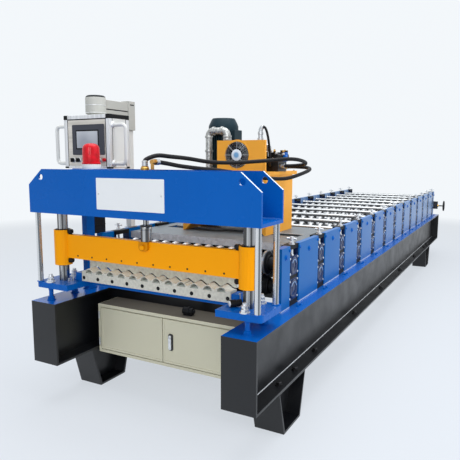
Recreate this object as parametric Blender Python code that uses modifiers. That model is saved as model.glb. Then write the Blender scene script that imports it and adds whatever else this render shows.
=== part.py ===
"""Roll forming machine for corrugated roof sheet, with its cut-off shear and power unit.

Machine frame, before the parent empty moves it: X across the machine from its centre plane,
Y along the machine from the near end of the beams, Z up from the ground. Metres.
The sheet leaves the rolls towards -Y and is cut by the shear at the near end.
"""

import math

import bmesh
import bpy
from mathutils import Matrix, Vector

# Driving dimensions of the bed
TOUCH_GAP = 0.0003
CUT_MARGIN = 0.010
STATIONS = 13
PITCH = 0.44
FIRST_STATION = 0.62
END_MARGIN = 0.140
BED_LENGTH = FIRST_STATION + (STATIONS - 1) * PITCH + END_MARGIN
BEAM_SPAN = 1.022
BEAM_WIDTH = 0.176
BEAM_OUTER = BEAM_SPAN / 2 + BEAM_WIDTH
LEG_HEIGHT = 0.245
BEAM_HEIGHT = 0.344
BEAM_BOTTOM = LEG_HEIGHT
BEAM_TOP = BEAM_BOTTOM + BEAM_HEIGHT
FLANGE = 0.012
WEB = 0.009
LEG_WIDTH = 0.162
LEG_WALL = 0.012
LEG_FOOT = 0.220
LEG_HEAD = 0.360
LEG_PLACES = (0.452, BED_LENGTH - 0.900)
TIE_SIZE = 0.100
TIE_DROP = 0.189
TIE_STATIONS = (2, 5, 8, 11)

# Driving dimensions of the roll stations
WINDOW = 0.132
SIDE_HEIGHT = 0.328
SIDE_TOP = BEAM_TOP + SIDE_HEIGHT
SIDE_OUTER = BEAM_OUTER - 0.076
SIDE_THICKNESS = 0.028
CHOCK_OUTER = SIDE_OUTER - 0.007
CHOCK_THICKNESS = 0.048
CHOCK_INNER = CHOCK_OUTER - CHOCK_THICKNESS
CHOCK_CAP = 0.024
SCREW_SPACE = 0.036
WINDOW_LINING = 0.006
CHOCK_LIP = 0.002
NEAR_PLATE_LENGTH = 0.110
NEAR_PLATE_THICKNESS = 0.040
FAR_PLATE_MARGIN = 0.010
LOWER_AXIS = BEAM_TOP + 0.088
UPPER_AXIS = LOWER_AXIS + 0.128
ROLL_RADIUS = 0.061
WAVE_PITCH = 0.0762
WAVE_HEIGHT = 0.018
WAVES = 12
WAVE_HALF = WAVES * WAVE_PITCH / 2
SHAFT_RADIUS = 0.032
SHOULDER = 0.012
ROLL_SIDES = 6

# Driving dimensions of the shear
TABLE_HALF = BEAM_OUTER + 0.003
TABLE_FRONT = 0.042
TABLE_DEPTH = 0.230
TABLE_REAR = TABLE_FRONT + TABLE_DEPTH
TABLE_THICKNESS = 0.032
TABLE_CORNER = 0.020
JACK_HEIGHT = 0.069
JACK_RADIUS = 0.012
TABLE_BOTTOM = BEAM_TOP + JACK_HEIGHT
TABLE_TOP = TABLE_BOTTOM + TABLE_THICKNESS
JACK_X = TABLE_HALF - 0.082
JACK_MARGIN = 0.027
NOTCH_DEPTH = 0.180
HEAD_HALF = TABLE_HALF + 0.002
HEAD_FRONT = TABLE_FRONT - 0.0185
HEAD_DEPTH = 0.2365
HEAD_REAR = HEAD_FRONT + HEAD_DEPTH
HEAD_BOTTOM = TABLE_TOP + 0.386
HEAD_HEIGHT = 0.2335
HEAD_TOP = HEAD_BOTTOM + HEAD_HEIGHT
CORNER_CUT = (0.0994, 0.0835)
HEAD_PLATE = 0.012
HEAD_FLOOR = 0.016
LIFT_HOLE_RADIUS = 0.0165
POST_RADIUS = 0.015
POST_X = TABLE_HALF - 0.025
POST_INSET = 0.0285
BEACON_X = -0.350
STRAP_WIDTH = 0.160
STRAP_THICKNESS = 0.010
COLUMN_RADIUS = 0.0275
COLUMN_X = TABLE_HALF - 0.112
COLUMN_Y = TABLE_FRONT + 0.100
DIE_HALF = WAVE_HALF + 0.0128
DIE_FRONT = COLUMN_Y + 0.024
DIE_DEPTH = 0.060
DIE_HEIGHT = 0.065
DIE_SKIN = 0.005
POCKET_HALF = 0.027
STOP_GAP = 0.004
STOP_SIZE = (0.042, 0.065, 0.045)
BLADE_GAP = 0.005
BLADE_FRONT = DIE_FRONT + DIE_DEPTH + BLADE_GAP
BLADE_THICKNESS = 0.0175
BLADE_OPEN = 0.015
BEAM_LOW = TABLE_TOP + 0.132
BLADE_BEAM_HEIGHT = 0.130
BEAM_HIGH = BEAM_LOW + BLADE_BEAM_HEIGHT
BEAM_FRONT = COLUMN_Y - 0.014
BLADE_BEAM_DEPTH = 0.037
SHELF_LOW = BEAM_LOW + 0.024
SHELF_THICKNESS = 0.024
SLEEVE_RADIUS = 0.048
SLEEVE_LOW = BEAM_LOW - 0.041
SLEEVE_HIGH = BEAM_HIGH + 0.024
CLEVIS_HALF = 0.022
CLEVIS_DEPTH = 0.010
CLEVIS_DROP = 0.027
BARREL_RADIUS = 0.055
BARREL_LENGTH = 0.2125
CYLINDER_FLANGE = 0.150
FLANGE_THICKNESS = 0.018
ROD_RADIUS = 0.014
ROD_CLEARANCE = 0.001
ROD_LENGTH = 0.160
ROD_BORE_DEPTH = 0.110
COUPLING_RADIUS = 0.036
COUPLING_LENGTH = 0.078
BEACON_RADIUS = 0.0455
BEACON_HEIGHT = 0.108
BEACON_BASE = 0.026
BEACON_RIM = 0.004

# Driving dimensions of the electric cabinet
CABINET_SIDE_GAP = 0.0003
CABINET_LEFT = -BEAM_SPAN / 2 + CABINET_SIDE_GAP
CABINET_RIGHT_SPACE = 0.091
CABINET_RIGHT = BEAM_SPAN / 2 - CABINET_RIGHT_SPACE
CABINET_FRONT = 0.330
CABINET_DEPTH = 0.456
CABINET_REAR = CABINET_FRONT + CABINET_DEPTH
CABINET_TOP = BEAM_TOP - 0.075
CABINET_HEIGHT = 0.292
CABINET_BOTTOM = CABINET_TOP - CABINET_HEIGHT
CABINET_WALL = 0.016
HANGER_PLACE = 0.500
HANGER_HEIGHT = 0.058
DOOR_THICKNESS = 0.016
DOOR_CLEARANCE = 0.005
DOOR_SPLIT = -0.045
DOOR_PIN_INSET = 0.006
DOOR_PIN_RADIUS = 0.005

# Driving dimensions of the cable post beside the left beam of the shear
CABLE_POST_SIZE = (0.050, 0.100)
CABLE_POST_LEFT = -SIDE_OUTER - 0.024
CABLE_POST_FRONT = 0.324
CABLE_POST_HEIGHT = 0.520
DUCT_GAP = 0.006
DUCT_LENGTH = 0.090
DUCT_HEIGHT = 0.480

# Driving dimensions of the operator panel
PANEL_COLUMN_INSET = 0.009
PANEL_COLUMN = (PANEL_COLUMN_INSET - SIDE_OUTER, 0.757)
PANEL_COLUMN_SIZE = 0.040
PANEL_COLUMN_HEIGHT = 0.628
PANEL_COLUMN_TOP = SIDE_TOP + PANEL_COLUMN_HEIGHT
PANEL_PIN_RADIUS = 0.012
PANEL_PIN_HEIGHT = 0.143
ARM_HEAD_SIZE = 0.062
ARM_HEAD_HEIGHT = 0.183
ARM_HEAD_TOP = PANEL_COLUMN_TOP + ARM_HEAD_HEIGHT
ARM_HEIGHT = 0.080
ARM_LOW = ARM_HEAD_TOP - 0.093
ARM_WIDTH = 0.050
ARM_REACH = 0.294
SWIVEL = (PANEL_COLUMN[0] - 0.002, PANEL_COLUMN[1] - ARM_REACH)
SWIVEL_RADIUS = 0.060
SWIVEL_HEIGHT = 0.110
SWIVEL_HIGH = ARM_HEAD_TOP + 0.007
SWIVEL_LOW = SWIVEL_HIGH - SWIVEL_HEIGHT
PANEL_NECK = 0.012
PANEL_NECK_RADIUS = 0.040
PANEL_WIDTH = 0.346
PANEL_DEPTH = 0.168
PANEL_HEIGHT = 0.304
PANEL_HIGH = SWIVEL_LOW - PANEL_NECK
PANEL_LOW = PANEL_HIGH - PANEL_HEIGHT
PANEL_BEVEL = 0.006
HANDLE_REACH = 0.095
HANDLE_HALF = 0.110
HANDLE_RADIUS = 0.011
HANDLE_BEND = 0.024

# Driving dimensions of the power unit
DECK_TOP = SIDE_TOP - 0.017
DECK_THICKNESS = 0.006
DECK_SKIRT = 0.040
DECK_FRONT = 0.700
DECK_LENGTH = 0.730
DECK_REAR = DECK_FRONT + DECK_LENGTH
DECK_HALF = CHOCK_INNER - TOUCH_GAP
DECK_SLOT_MARGIN = 0.076
DECK_SLOT_WIDTH = 0.120
TANK_WIDTH = 0.600
TANK_FRONT = 0.925
TANK_DEPTH = 0.420
TANK_REAR = TANK_FRONT + TANK_DEPTH
FOOT_HEIGHT = 0.056
FOOT_TOE = 0.012
FOOT_HEAD = 0.075
TANK_BOTTOM = DECK_TOP + FOOT_HEIGHT
TANK_HEIGHT = 0.331
TANK_TOP = TANK_BOTTOM + TANK_HEIGHT
TANK_LID = 0.022
TANK_LID_OVERHANG = 0.006
TANK_LID_TAIL = 0.065
COOLER_LEFT = -0.040
COOLER_WIDTH = 0.330
COOLER_DEPTH = 0.020
CORE_DEPTH = 0.100
CORE_INSET = (0.030, 0.055, 0.008)
COOLER_HEIGHT = 0.191
COOLER_TOP = TANK_TOP + COOLER_HEIGHT
FAN_CENTRE = (COOLER_LEFT + 0.139, COOLER_TOP - 0.090)
FAN_WELL = 0.088
FAN_TIP_GAP = 0.008
FAN_WELL_DEPTH = 0.070
FAN_HUB_RADIUS = 0.028
FAN_BLADES = 7
BLADE_PITCH = 30
MOTOR_CENTRE = (-0.120, 1.150)
MOTOR_RADIUS = 0.104
MOTOR_HEIGHT = 0.233
COWL_RADIUS = 0.113
COWL_HEIGHT = 0.110
COWL_TAPER = 0.050
MOTOR_FLANGE = 0.045
TERMINAL_BOX = (0.055, 0.100, 0.100)
PIPE_RADIUS = 0.022
PIPE_BEND = 0.040
PIPE_HEIGHT = 0.268
PIPE_FEET = (-0.132, 0.007)
PIPE_Y = 0.982
VALVE_BOX = (0.200, 0.300, 1.100, 1.235)
VALVE_HEIGHT = 0.063
VALVE_BODY_HEIGHT = 0.055
SOLENOID_RADIUS = 0.022

# Hose routes, chosen point by point
HOSE_RADIUS = 0.011
HOSE_STEP = 0.055
PORT_TOP = 1.327
ELBOW_FACE = 0.165
UPPER_HOSE = [
    (0.000, COLUMN_Y, PORT_TOP + TOUCH_GAP), (0.000, COLUMN_Y, 1.341), (0.003, 0.151, 1.361),
    (0.034, 0.200, 1.380),
    (0.060, 0.280, 1.375), (0.085, 0.400, 1.366), (0.137, 0.550, 1.347), (0.215, 0.680, 1.344),
    (0.341, 0.800, 1.354), (0.435, 0.880, 1.364), (0.484, 0.950, 1.362), (0.497, 1.050, 1.346),
    (0.465, 1.118, 1.332), (0.400, 1.138, 1.325), (0.335, 1.140, 1.322), (0.3003, 1.140, 1.322),
]
LOWER_HOSE = [
    (0.046, ELBOW_FACE + TOUCH_GAP, 1.348), (0.046, 0.185, 1.348), (0.060, 0.250, 1.340),
    (0.075, 0.340, 1.327),
    (0.128, 0.450, 1.313), (0.185, 0.560, 1.302), (0.267, 0.680, 1.281), (0.336, 0.760, 1.260),
    (0.398, 0.840, 1.252), (0.445, 0.920, 1.255), (0.487, 1.020, 1.278), (0.500, 1.120, 1.300),
    (0.462, 1.180, 1.312), (0.380, 1.194, 1.316), (0.335, 1.195, 1.316), (0.3003, 1.195, 1.316),
]

# Driving dimensions of the entry guide
GUIDE_DEPTH = 0.040
GUIDE_LOW = LOWER_AXIS + 0.013
GUIDE_HEIGHT = 0.038
GUIDE_POST_X = WAVE_HALF + 0.0228
GUIDE_POST_WIDTH = 0.024
GUIDE_POST_HEIGHT = 0.062
WHEEL_REACH = 0.139
WHEEL_PLACE = (SIDE_OUTER + WHEEL_REACH, BED_LENGTH - 0.040, GUIDE_LOW + 0.025)
WHEEL_RADIUS = 0.073
RIM_WIDTH = 0.016
RIM_DEPTH = 0.014
SPOKE_WIDTH = 0.014
WHEEL_SCREW_RADIUS = 0.008
BRACKET_LENGTH = 0.060
SCREW_CLEARANCE = 0.0015

# The parent empty puts the middle of the whole machine's box over the origin
BOX_LEFT = SWIVEL[0] - PANEL_WIDTH / 2 - HANDLE_REACH - HANDLE_RADIUS
BOX_RIGHT = WHEEL_PLACE[0] + RIM_WIDTH / 2
BOX_REAR = WHEEL_PLACE[1] + WHEEL_RADIUS
MACHINE_SHIFT = (-(BOX_LEFT + BOX_RIGHT) / 2, -BOX_REAR / 2, 0.0)

# Paint and metal
BLUE = ("machine_blue", (0.020, 0.130, 0.480), 0.35, 0.0)
BLACK = ("frame_black", (0.018, 0.020, 0.024), 0.45, 0.0)
YELLOW = ("signal_yellow", (0.830, 0.330, 0.010), 0.40, 0.0)
ORANGE = ("power_unit_orange", (0.830, 0.400, 0.060), 0.45, 0.0)
STEEL = ("bright_steel", (0.620, 0.630, 0.640), 0.25, 1.0)
CHROME = ("roll_chrome", (0.750, 0.750, 0.730), 0.20, 1.0)
DIE_STEEL = ("die_cream", (0.600, 0.560, 0.470), 0.45, 0.0)
ZINC = ("zinc_plate", (0.450, 0.470, 0.470), 0.40, 0.9)
BEIGE = ("cabinet_beige", (0.640, 0.610, 0.500), 0.50, 0.0)
PALE = ("panel_pale_grey", (0.720, 0.730, 0.740), 0.40, 0.0)
RED = ("beacon_red", (0.700, 0.010, 0.030), 0.25, 0.0)
DARK = ("motor_dark_grey", (0.030, 0.045, 0.055), 0.50, 0.0)
RUBBER = ("hose_rubber", (0.012, 0.012, 0.013), 0.60, 0.0)
BRASS = ("valve_brass", (0.500, 0.280, 0.080), 0.35, 1.0)


def clear_scene():
    """Remove what the start-up file holds."""
    for old in list(bpy.data.objects):
        bpy.data.objects.remove(old, do_unlink=True)


def make_collection(name):
    """Return a new collection in the scene."""
    collection = bpy.data.collections.new(name)
    bpy.context.scene.collection.children.link(collection)
    return collection


clear_scene()
MACHINE = make_collection("roll_forming_machine")
CUTTERS = make_collection("cutters")
ROOT = bpy.data.objects.new("machine_root", None)
ROOT.location = MACHINE_SHIFT
MACHINE.objects.link(ROOT)
bpy.context.view_layer.update()


def material(spec):
    """Return the paint or metal of a spec, made once."""
    name, colour, roughness, metallic = spec
    found = bpy.data.materials.get(name)
    if found:
        return found
    made = bpy.data.materials.new(name)
    made.use_nodes = True
    shader = made.node_tree.nodes["Principled BSDF"]
    shader.inputs["Base Color"].default_value = (*colour, 1.0)
    shader.inputs["Roughness"].default_value = roughness
    shader.inputs["Metallic"].default_value = metallic
    made.diffuse_color = (*colour, 1.0)
    return made


def add_object(name, data, spec, place, turn=None):
    """Add a mesh to the machine at a place, with its material."""
    made = bpy.data.objects.new(name, data)
    if not data.materials:
        data.materials.append(material(spec))
    MACHINE.objects.link(made)
    made.parent = ROOT
    matrix = Matrix.Translation(place)
    made.matrix_local = matrix @ turn if turn else matrix
    return made


def box(name, low, high, spec, place=None):
    """A box between two corners, with its origin at a place or at its middle."""
    low, high = Vector(low), Vector(high)
    middle = (low + high) / 2
    place = Vector(place) if place else middle
    mesh = bpy.data.meshes.new(name)
    build = bmesh.new()
    bmesh.ops.create_cube(build, size=1.0)
    bmesh.ops.scale(build, vec=high - low, verts=build.verts)
    bmesh.ops.translate(build, vec=middle - place, verts=build.verts)
    build.to_mesh(mesh)
    build.free()
    return add_object(name, mesh, spec, place)


AXIS_TURN = {
    "X": Matrix.Rotation(math.radians(90), 4, "Y"),
    "Y": Matrix.Rotation(math.radians(-90), 4, "X"),
    "Z": Matrix.Identity(4),
}


def rod(name, centre, axis, start, end, radius, spec, sides=16, tip_radius=None):
    """A round bar or cone along an axis, from start to end along that axis."""
    mesh = bpy.data.meshes.new(name)
    build = bmesh.new()
    bmesh.ops.create_cone(
        build,
        cap_ends=True,
        segments=sides,
        radius1=radius,
        radius2=radius if tip_radius is None else tip_radius,
        depth=end - start,
    )
    bmesh.ops.transform(build, matrix=AXIS_TURN[axis], verts=build.verts)
    build.to_mesh(mesh)
    build.free()
    place = Vector(centre)
    place["XYZ".index(axis)] = (start + end) / 2
    made = add_object(name, mesh, spec, place)
    smooth(mesh)
    return made


def smooth(mesh, degrees=50):
    """Shade round faces smooth and keep the sharp edges."""
    mesh.shade_smooth()
    mesh.set_sharp_from_angle(angle=math.radians(degrees))


def mesh_of(source, name):
    """Turn an evaluated object into a closed mesh of its own and remove the object."""
    bpy.context.view_layer.update()
    graph = bpy.context.evaluated_depsgraph_get()
    mesh = bpy.data.meshes.new_from_object(source.evaluated_get(graph))
    mesh.name = name
    build = bmesh.new()
    build.from_mesh(mesh)
    bmesh.ops.remove_doubles(build, verts=build.verts, dist=0.00005)
    bmesh.ops.recalc_face_normals(build, faces=build.faces)
    build.to_mesh(mesh)
    build.free()
    bpy.data.objects.remove(source, do_unlink=True)
    return mesh


PLANE_TURN = {
    "XY": Matrix.Identity(4),
    "XZ": Matrix.Rotation(math.radians(90), 4, "X"),
    "YZ": Matrix(((0, 0, 1, 0), (1, 0, 0, 0), (0, 1, 0, 0), (0, 0, 0, 1))),
}
PLANE_NORMAL = {"XY": "Z", "XZ": "Y", "YZ": "X"}


def outline_mesh(name, loops, thickness, plane):
    """A flat outline, with any further loops as holes, thickened about its plane."""
    curve = bpy.data.curves.new(name, "CURVE")
    curve.dimensions = "2D"
    curve.fill_mode = "BOTH"
    curve.extrude = thickness / 2
    for loop in loops:
        spline = curve.splines.new("POLY")
        spline.points.add(len(loop) - 1)
        for point, (u, v) in zip(spline.points, loop):
            point.co = (u, v, 0.0, 1.0)
        spline.use_cyclic_u = True
    holder = bpy.data.objects.new(name, curve)
    MACHINE.objects.link(holder)
    mesh = mesh_of(holder, name)
    mesh.transform(PLANE_TURN[plane])
    return mesh


def plate(name, loops, low, high, plane, spec, place=(0.0, 0.0, 0.0)):
    """An outline in XY, XZ or YZ, made solid between low and high across that plane."""
    mesh = outline_mesh(name, loops, high - low, plane)
    across = "XYZ".index(PLANE_NORMAL[plane])
    offset = Vector((0.0, 0.0, 0.0))
    offset[across] = (low + high) / 2
    mesh.transform(Matrix.Translation(offset - Vector(place)))
    mesh.materials.clear()
    return add_object(name, mesh, spec, Vector(place))


def circle(centre, radius, sides=16):
    """Points of a round hole or disc."""
    return [
        (centre[0] + radius * math.cos(step), centre[1] + radius * math.sin(step))
        for step in (2 * math.pi * index / sides for index in range(sides))
    ]


def round_corner(centre, first, radius, steps=3):
    """Points of a quarter turn that starts at an angle in degrees."""
    turns = [math.radians(first + 90 * index / steps) for index in range(steps + 1)]
    return [(centre[0] + radius * math.cos(turn), centre[1] + radius * math.sin(turn)) for turn in turns]


def hide_as_cutter(tool):
    """Keep a helper out of the model."""
    MACHINE.objects.unlink(tool)
    CUTTERS.objects.link(tool)
    tool.hide_render = True
    tool.display_type = "WIRE"


def combine(target, tools, operation):
    """Join helpers to a piece, or cut them out of it."""
    for tool in tools:
        change = target.modifiers.new(f"{operation.lower()}_{tool.name}", "BOOLEAN")
        change.object = tool
        change.operation = operation
        change.solver = "EXACT"
        hide_as_cutter(tool)
    return target


def tube(name, points, radius, spec, resolution=2):
    """A round tube along points, with filled ends, as a mesh."""
    curve = bpy.data.curves.new(name, "CURVE")
    curve.dimensions = "3D"
    curve.bevel_depth = radius
    curve.bevel_resolution = resolution
    curve.use_fill_caps = True
    spline = curve.splines.new("POLY")
    spline.points.add(len(points) - 1)
    for point, place in zip(spline.points, points):
        point.co = (*place, 1.0)
    holder = bpy.data.objects.new(name, curve)
    MACHINE.objects.link(holder)
    mesh = mesh_of(holder, name)
    smooth(mesh)
    return add_object(name, mesh, spec, (0.0, 0.0, 0.0))


def bend(corner, start, end, radius, steps=5):
    """Points of a rounded corner between two straight runs."""
    corner, start, end = Vector(corner), Vector(start), Vector(end)
    into = (corner - start).normalized()
    away = (end - corner).normalized()
    centre = corner - into * radius + away * radius
    points = []
    for step in range(steps + 1):
        angle = math.pi / 2 * step / steps
        points.append(centre - away * radius * math.cos(angle) + into * radius * math.sin(angle))
    return points


def smooth_route(points, spacing):
    """Points at even steps along a smooth curve through the route's own points."""
    places = [Vector(point) for point in points]
    padded = [2 * places[0] - places[1], *places, 2 * places[-1] - places[-2]]
    route = []
    for index in range(1, len(padded) - 2):
        a, b, c, d = padded[index - 1:index + 3]
        steps = max(1, round((c - b).length / spacing))
        for step in range(steps):
            t = step / steps
            route.append(0.5 * (
                2 * b + (c - a) * t + (2 * a - 5 * b + 4 * c - d) * t ** 2
                + (3 * b - a - 3 * c + d) * t ** 3
            ))
    route.append(places[-1])
    return route


def mirrored(points):
    """The outline on the other side of the centre plane."""
    return [(-u, v) for u, v in reversed(points)]


# Bed frame

def leg_outline(middle, inset):
    """Side view of a leg, or of its open pocket."""
    foot, head = LEG_FOOT / 2 - inset, LEG_HEAD / 2 - inset
    top = BEAM_BOTTOM - inset if inset else BEAM_BOTTOM + FLANGE / 2
    return [(middle - foot, inset), (middle + foot, inset), (middle + head, top), (middle - head, top)]


def make_bed_frame():
    """Two H-beams with end plates and cross ties, on four open-sided legs."""
    inner = BEAM_SPAN / 2
    web_middle = inner + BEAM_WIDTH / 2
    leg_inner = web_middle - LEG_WIDTH / 2
    leg_outer = web_middle + LEG_WIDTH / 2
    frame = box("bed_frame", (inner, 0.0, BEAM_BOTTOM), (BEAM_OUTER, BED_LENGTH, BEAM_TOP), BLACK)
    parts = [box("beam_left", (-BEAM_OUTER, 0.0, BEAM_BOTTOM), (-inner, BED_LENGTH, BEAM_TOP), BLACK)]
    combine(frame, parts, "UNION")
    hollows = []
    for side in (-1, 1):
        for face, near, away in (
            ("in", inner - CUT_MARGIN, web_middle - WEB / 2),
            ("out", web_middle + WEB / 2, BEAM_OUTER + CUT_MARGIN)
        ):
            low, high = sorted((side * near, side * away))
            hollows.append(box(
                f"hollow_{side}_{face}", (low, FLANGE, BEAM_BOTTOM + FLANGE),
                (high, BED_LENGTH - FLANGE, BEAM_TOP - FLANGE), BLACK))
    combine(frame, hollows, "DIFFERENCE")
    parts = []
    tie_top = BEAM_TOP - TIE_DROP
    for index in TIE_STATIONS:
        near = FIRST_STATION + (index + 0.5) * PITCH - TIE_SIZE / 2
        parts.append(box(
            f"tie_{index}", (-web_middle, near, tie_top - TIE_SIZE), (web_middle, near + TIE_SIZE, tie_top),
            BLACK))
    hanger = CABINET_TOP + TOUCH_GAP
    parts.append(box(
        "cabinet_hanger", (-web_middle, HANGER_PLACE, hanger),
        (web_middle, HANGER_PLACE + TIE_SIZE, hanger + HANGER_HEIGHT), BLACK))
    for side in (-1, 1):
        low, high = sorted((side * leg_inner, side * leg_outer))
        for index, place in enumerate(LEG_PLACES):
            parts.append(plate(f"leg_{side}_{index}", [leg_outline(place, 0.0)], low, high, "YZ", BLACK))
    combine(frame, parts, "UNION")
    pockets = []
    for side in (-1, 1):
        for face, near, away in (
            ("in", leg_inner - CUT_MARGIN, web_middle - LEG_WALL / 2),
            ("out", web_middle + LEG_WALL / 2, leg_outer + CUT_MARGIN),
        ):
            low, high = sorted((side * near, side * away))
            for index, place in enumerate(LEG_PLACES):
                pockets.append(plate(
                    f"pocket_{side}_{index}_{face}", [leg_outline(place, LEG_WALL)], low, high, "YZ", BLACK))
    combine(frame, pockets, "DIFFERENCE")


# Roll stations

def station_places():
    """Y of each roll station, from the exit back to the entry."""
    return [FIRST_STATION + index * PITCH for index in range(STATIONS)]


def side_outline():
    """Plan of the right side frame: plates with a bearing chock in every window."""
    half = WINDOW / 2
    lip = half - CHOCK_LIP
    near = FIRST_STATION - half - NEAR_PLATE_LENGTH
    outer, inner = [(SIDE_OUTER, near)], [(SIDE_OUTER - NEAR_PLATE_THICKNESS, near)]
    plate_inner = SIDE_OUTER - NEAR_PLATE_THICKNESS
    for place in station_places():
        outer += [
            (SIDE_OUTER, place - half), (CHOCK_OUTER, place - half),
            (CHOCK_OUTER, place + half), (SIDE_OUTER, place + half),
        ]
        inner += [(plate_inner, place - lip), (CHOCK_INNER, place - lip)]
        plate_inner = SIDE_OUTER - SIDE_THICKNESS
        inner += [(CHOCK_INNER, place + lip), (plate_inner, place + lip)]
    far = BED_LENGTH - FAR_PLATE_MARGIN
    return outer + [(SIDE_OUTER, far), (plate_inner, far)] + inner[::-1]


def make_side_frame(name, side):
    """One side frame, open round the adjusting screw above every chock."""
    outline = side_outline() if side > 0 else mirrored(side_outline())
    frame = plate(name, [outline], BEAM_TOP + TOUCH_GAP, SIDE_TOP, "XY", BLUE)
    top = SIDE_TOP - CHOCK_CAP
    half = WINDOW / 2 - WINDOW_LINING
    low, high = sorted((side * (CHOCK_INNER - CUT_MARGIN), side * (SIDE_OUTER + CUT_MARGIN)))
    spaces = [
        box(f"screw_space_{side}_{index}", (low, place - half, top - SCREW_SPACE), (high, place + half, top), BLUE)
        for index, place in enumerate(station_places())
    ]
    combine(frame, spaces, "DIFFERENCE")
    return frame


def make_side_frames():
    """Right and left side frames, mirror images of each other."""
    make_side_frame("side_frame_right", 1)
    make_side_frame("side_frame_left", -1)


def wave_mesh(name, crest_sign):
    """A roll turned from its wavy profile, lying along X about its own middle."""
    end = CHOCK_INNER - TOUCH_GAP
    profile = [(0.0, end), (SHAFT_RADIUS, end), (SHAFT_RADIUS, WAVE_HALF + SHOULDER)]
    for index in range(2 * WAVES + 1):
        swing = crest_sign if index % 2 == 0 else -crest_sign
        profile.append((ROLL_RADIUS + swing * WAVE_HEIGHT / 2, WAVE_HALF - index * WAVE_PITCH / 2))
    profile += [(SHAFT_RADIUS, -WAVE_HALF - SHOULDER), (SHAFT_RADIUS, -end), (0.0, -end)]
    return turned_mesh(name, profile, ROLL_SIDES, "X")


def turned_mesh(name, profile, sides, axis):
    """A profile of radius and height pairs, top to bottom, turned about an axis."""
    line = bpy.data.meshes.new(name)
    build = bmesh.new()
    points = [build.verts.new((radius, 0.0, height)) for radius, height in profile]
    for first, second in zip(points, points[1:]):
        build.edges.new((first, second))
    build.to_mesh(line)
    build.free()
    holder = bpy.data.objects.new(name, line)
    MACHINE.objects.link(holder)
    screw = holder.modifiers.new("turn", "SCREW")
    screw.steps = sides
    screw.render_steps = sides
    screw.use_merge_vertices = True
    screw.merge_threshold = 0.0001
    mesh = mesh_of(holder, name)
    mesh.transform(AXIS_TURN[axis])
    return mesh


def make_rolls():
    """An upper and a lower roll in each station."""
    upper = wave_mesh("upper_roll", 1)
    lower = wave_mesh("lower_roll", -1)
    for mesh in (upper, lower):
        smooth(mesh, 60)
    for index, place in enumerate(station_places(), start=1):
        add_object(f"upper_roll_{index:02d}", upper, CHROME, (0.0, place, UPPER_AXIS))
        add_object(f"lower_roll_{index:02d}", lower, CHROME, (0.0, place, LOWER_AXIS))


# Shear

def make_shear_head():
    """Two tall plates on a floor plate, with the four posts that stand on the table."""
    cut_x, cut_z = CORNER_CUT
    shoulder, top_half = HEAD_TOP - cut_z, HEAD_HALF - cut_x
    outline = [
        (-HEAD_HALF, HEAD_BOTTOM), (HEAD_HALF, HEAD_BOTTOM), (HEAD_HALF, shoulder),
        (top_half, HEAD_TOP), (-top_half, HEAD_TOP), (-HEAD_HALF, shoulder),
    ]
    x, z = HEAD_HALF - 0.91 * cut_x, HEAD_TOP - cut_z / 2
    holes = [circle((side * x, z), LIFT_HOLE_RADIUS, 12) for side in (-1, 1)]
    front = plate("shear_head", [outline, *holes], HEAD_FRONT, HEAD_FRONT + HEAD_PLATE, "XZ", BLUE)
    rear = plate("head_rear_plate", [outline, *holes], HEAD_REAR - HEAD_PLATE, HEAD_REAR, "XZ", BLUE)
    lap = HEAD_PLATE / 2
    floor = plate(
        "head_floor",
        [
            [(-HEAD_HALF, HEAD_FRONT + lap), (HEAD_HALF, HEAD_FRONT + lap),
             (HEAD_HALF, HEAD_REAR - lap), (-HEAD_HALF, HEAD_REAR - lap)],
            circle((0.0, COLUMN_Y), ROD_RADIUS + 0.008, 12),
        ],
        HEAD_BOTTOM, HEAD_BOTTOM + HEAD_FLOOR, "XY", BLUE)
    strap = box(
        "beacon_strap", (BEACON_X - STRAP_WIDTH / 2, HEAD_FRONT + lap, HEAD_TOP - STRAP_THICKNESS),
        (BEACON_X + STRAP_WIDTH / 2, HEAD_REAR - lap, HEAD_TOP), BLUE)
    posts = []
    for side in (-1, 1):
        for end, y in enumerate((HEAD_FRONT + POST_INSET, HEAD_REAR - POST_INSET / 2)):
            posts.append(rod(
                f"post_{side}_{end}", (side * POST_X, y, 0.0), "Z", TABLE_TOP + TOUCH_GAP,
                HEAD_BOTTOM + HEAD_FLOOR / 2, POST_RADIUS, STEEL, 12))
    combine(front, [rear, floor, strap, *posts], "UNION")


def make_shear_table():
    """Thick table plate with two wings, on four jack screws that rest on the beams."""
    notch_half, notch_rear = DIE_HALF - 0.012, TABLE_FRONT + NOTCH_DEPTH
    side, near, far = TABLE_HALF - TABLE_CORNER, TABLE_FRONT + TABLE_CORNER, TABLE_REAR - TABLE_CORNER
    outline = [
        *round_corner((-side, near), 180, TABLE_CORNER), (-notch_half, TABLE_FRONT),
        (-notch_half, notch_rear),
        (notch_half, notch_rear), (notch_half, TABLE_FRONT), *round_corner((side, near), 270, TABLE_CORNER),
        *round_corner((side, far), 0, TABLE_CORNER), *round_corner((-side, far), 90, TABLE_CORNER),
    ]
    table = plate("shear_table", [outline], TABLE_BOTTOM, TABLE_TOP, "XY", BLUE)
    parts = []
    sink = TABLE_THICKNESS / 4
    width, depth, height = STOP_SIZE
    for side in (-1, 1):
        for end, y in enumerate((TABLE_FRONT + JACK_MARGIN, TABLE_REAR - JACK_MARGIN)):
            parts.append(rod(
                f"jack_{side}_{end}", (side * JACK_X, y, 0.0), "Z", BEAM_TOP + TOUCH_GAP,
                TABLE_BOTTOM + sink, JACK_RADIUS, BLUE, 10))
        near, far = sorted((side * (DIE_HALF + STOP_GAP), side * (DIE_HALF + STOP_GAP + width)))
        parts.append(box(
            f"die_stop_{side}", (near, DIE_FRONT, TABLE_TOP - sink),
            (far, DIE_FRONT + depth, TABLE_TOP + height), BLUE))
    combine(table, parts, "UNION")


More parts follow.
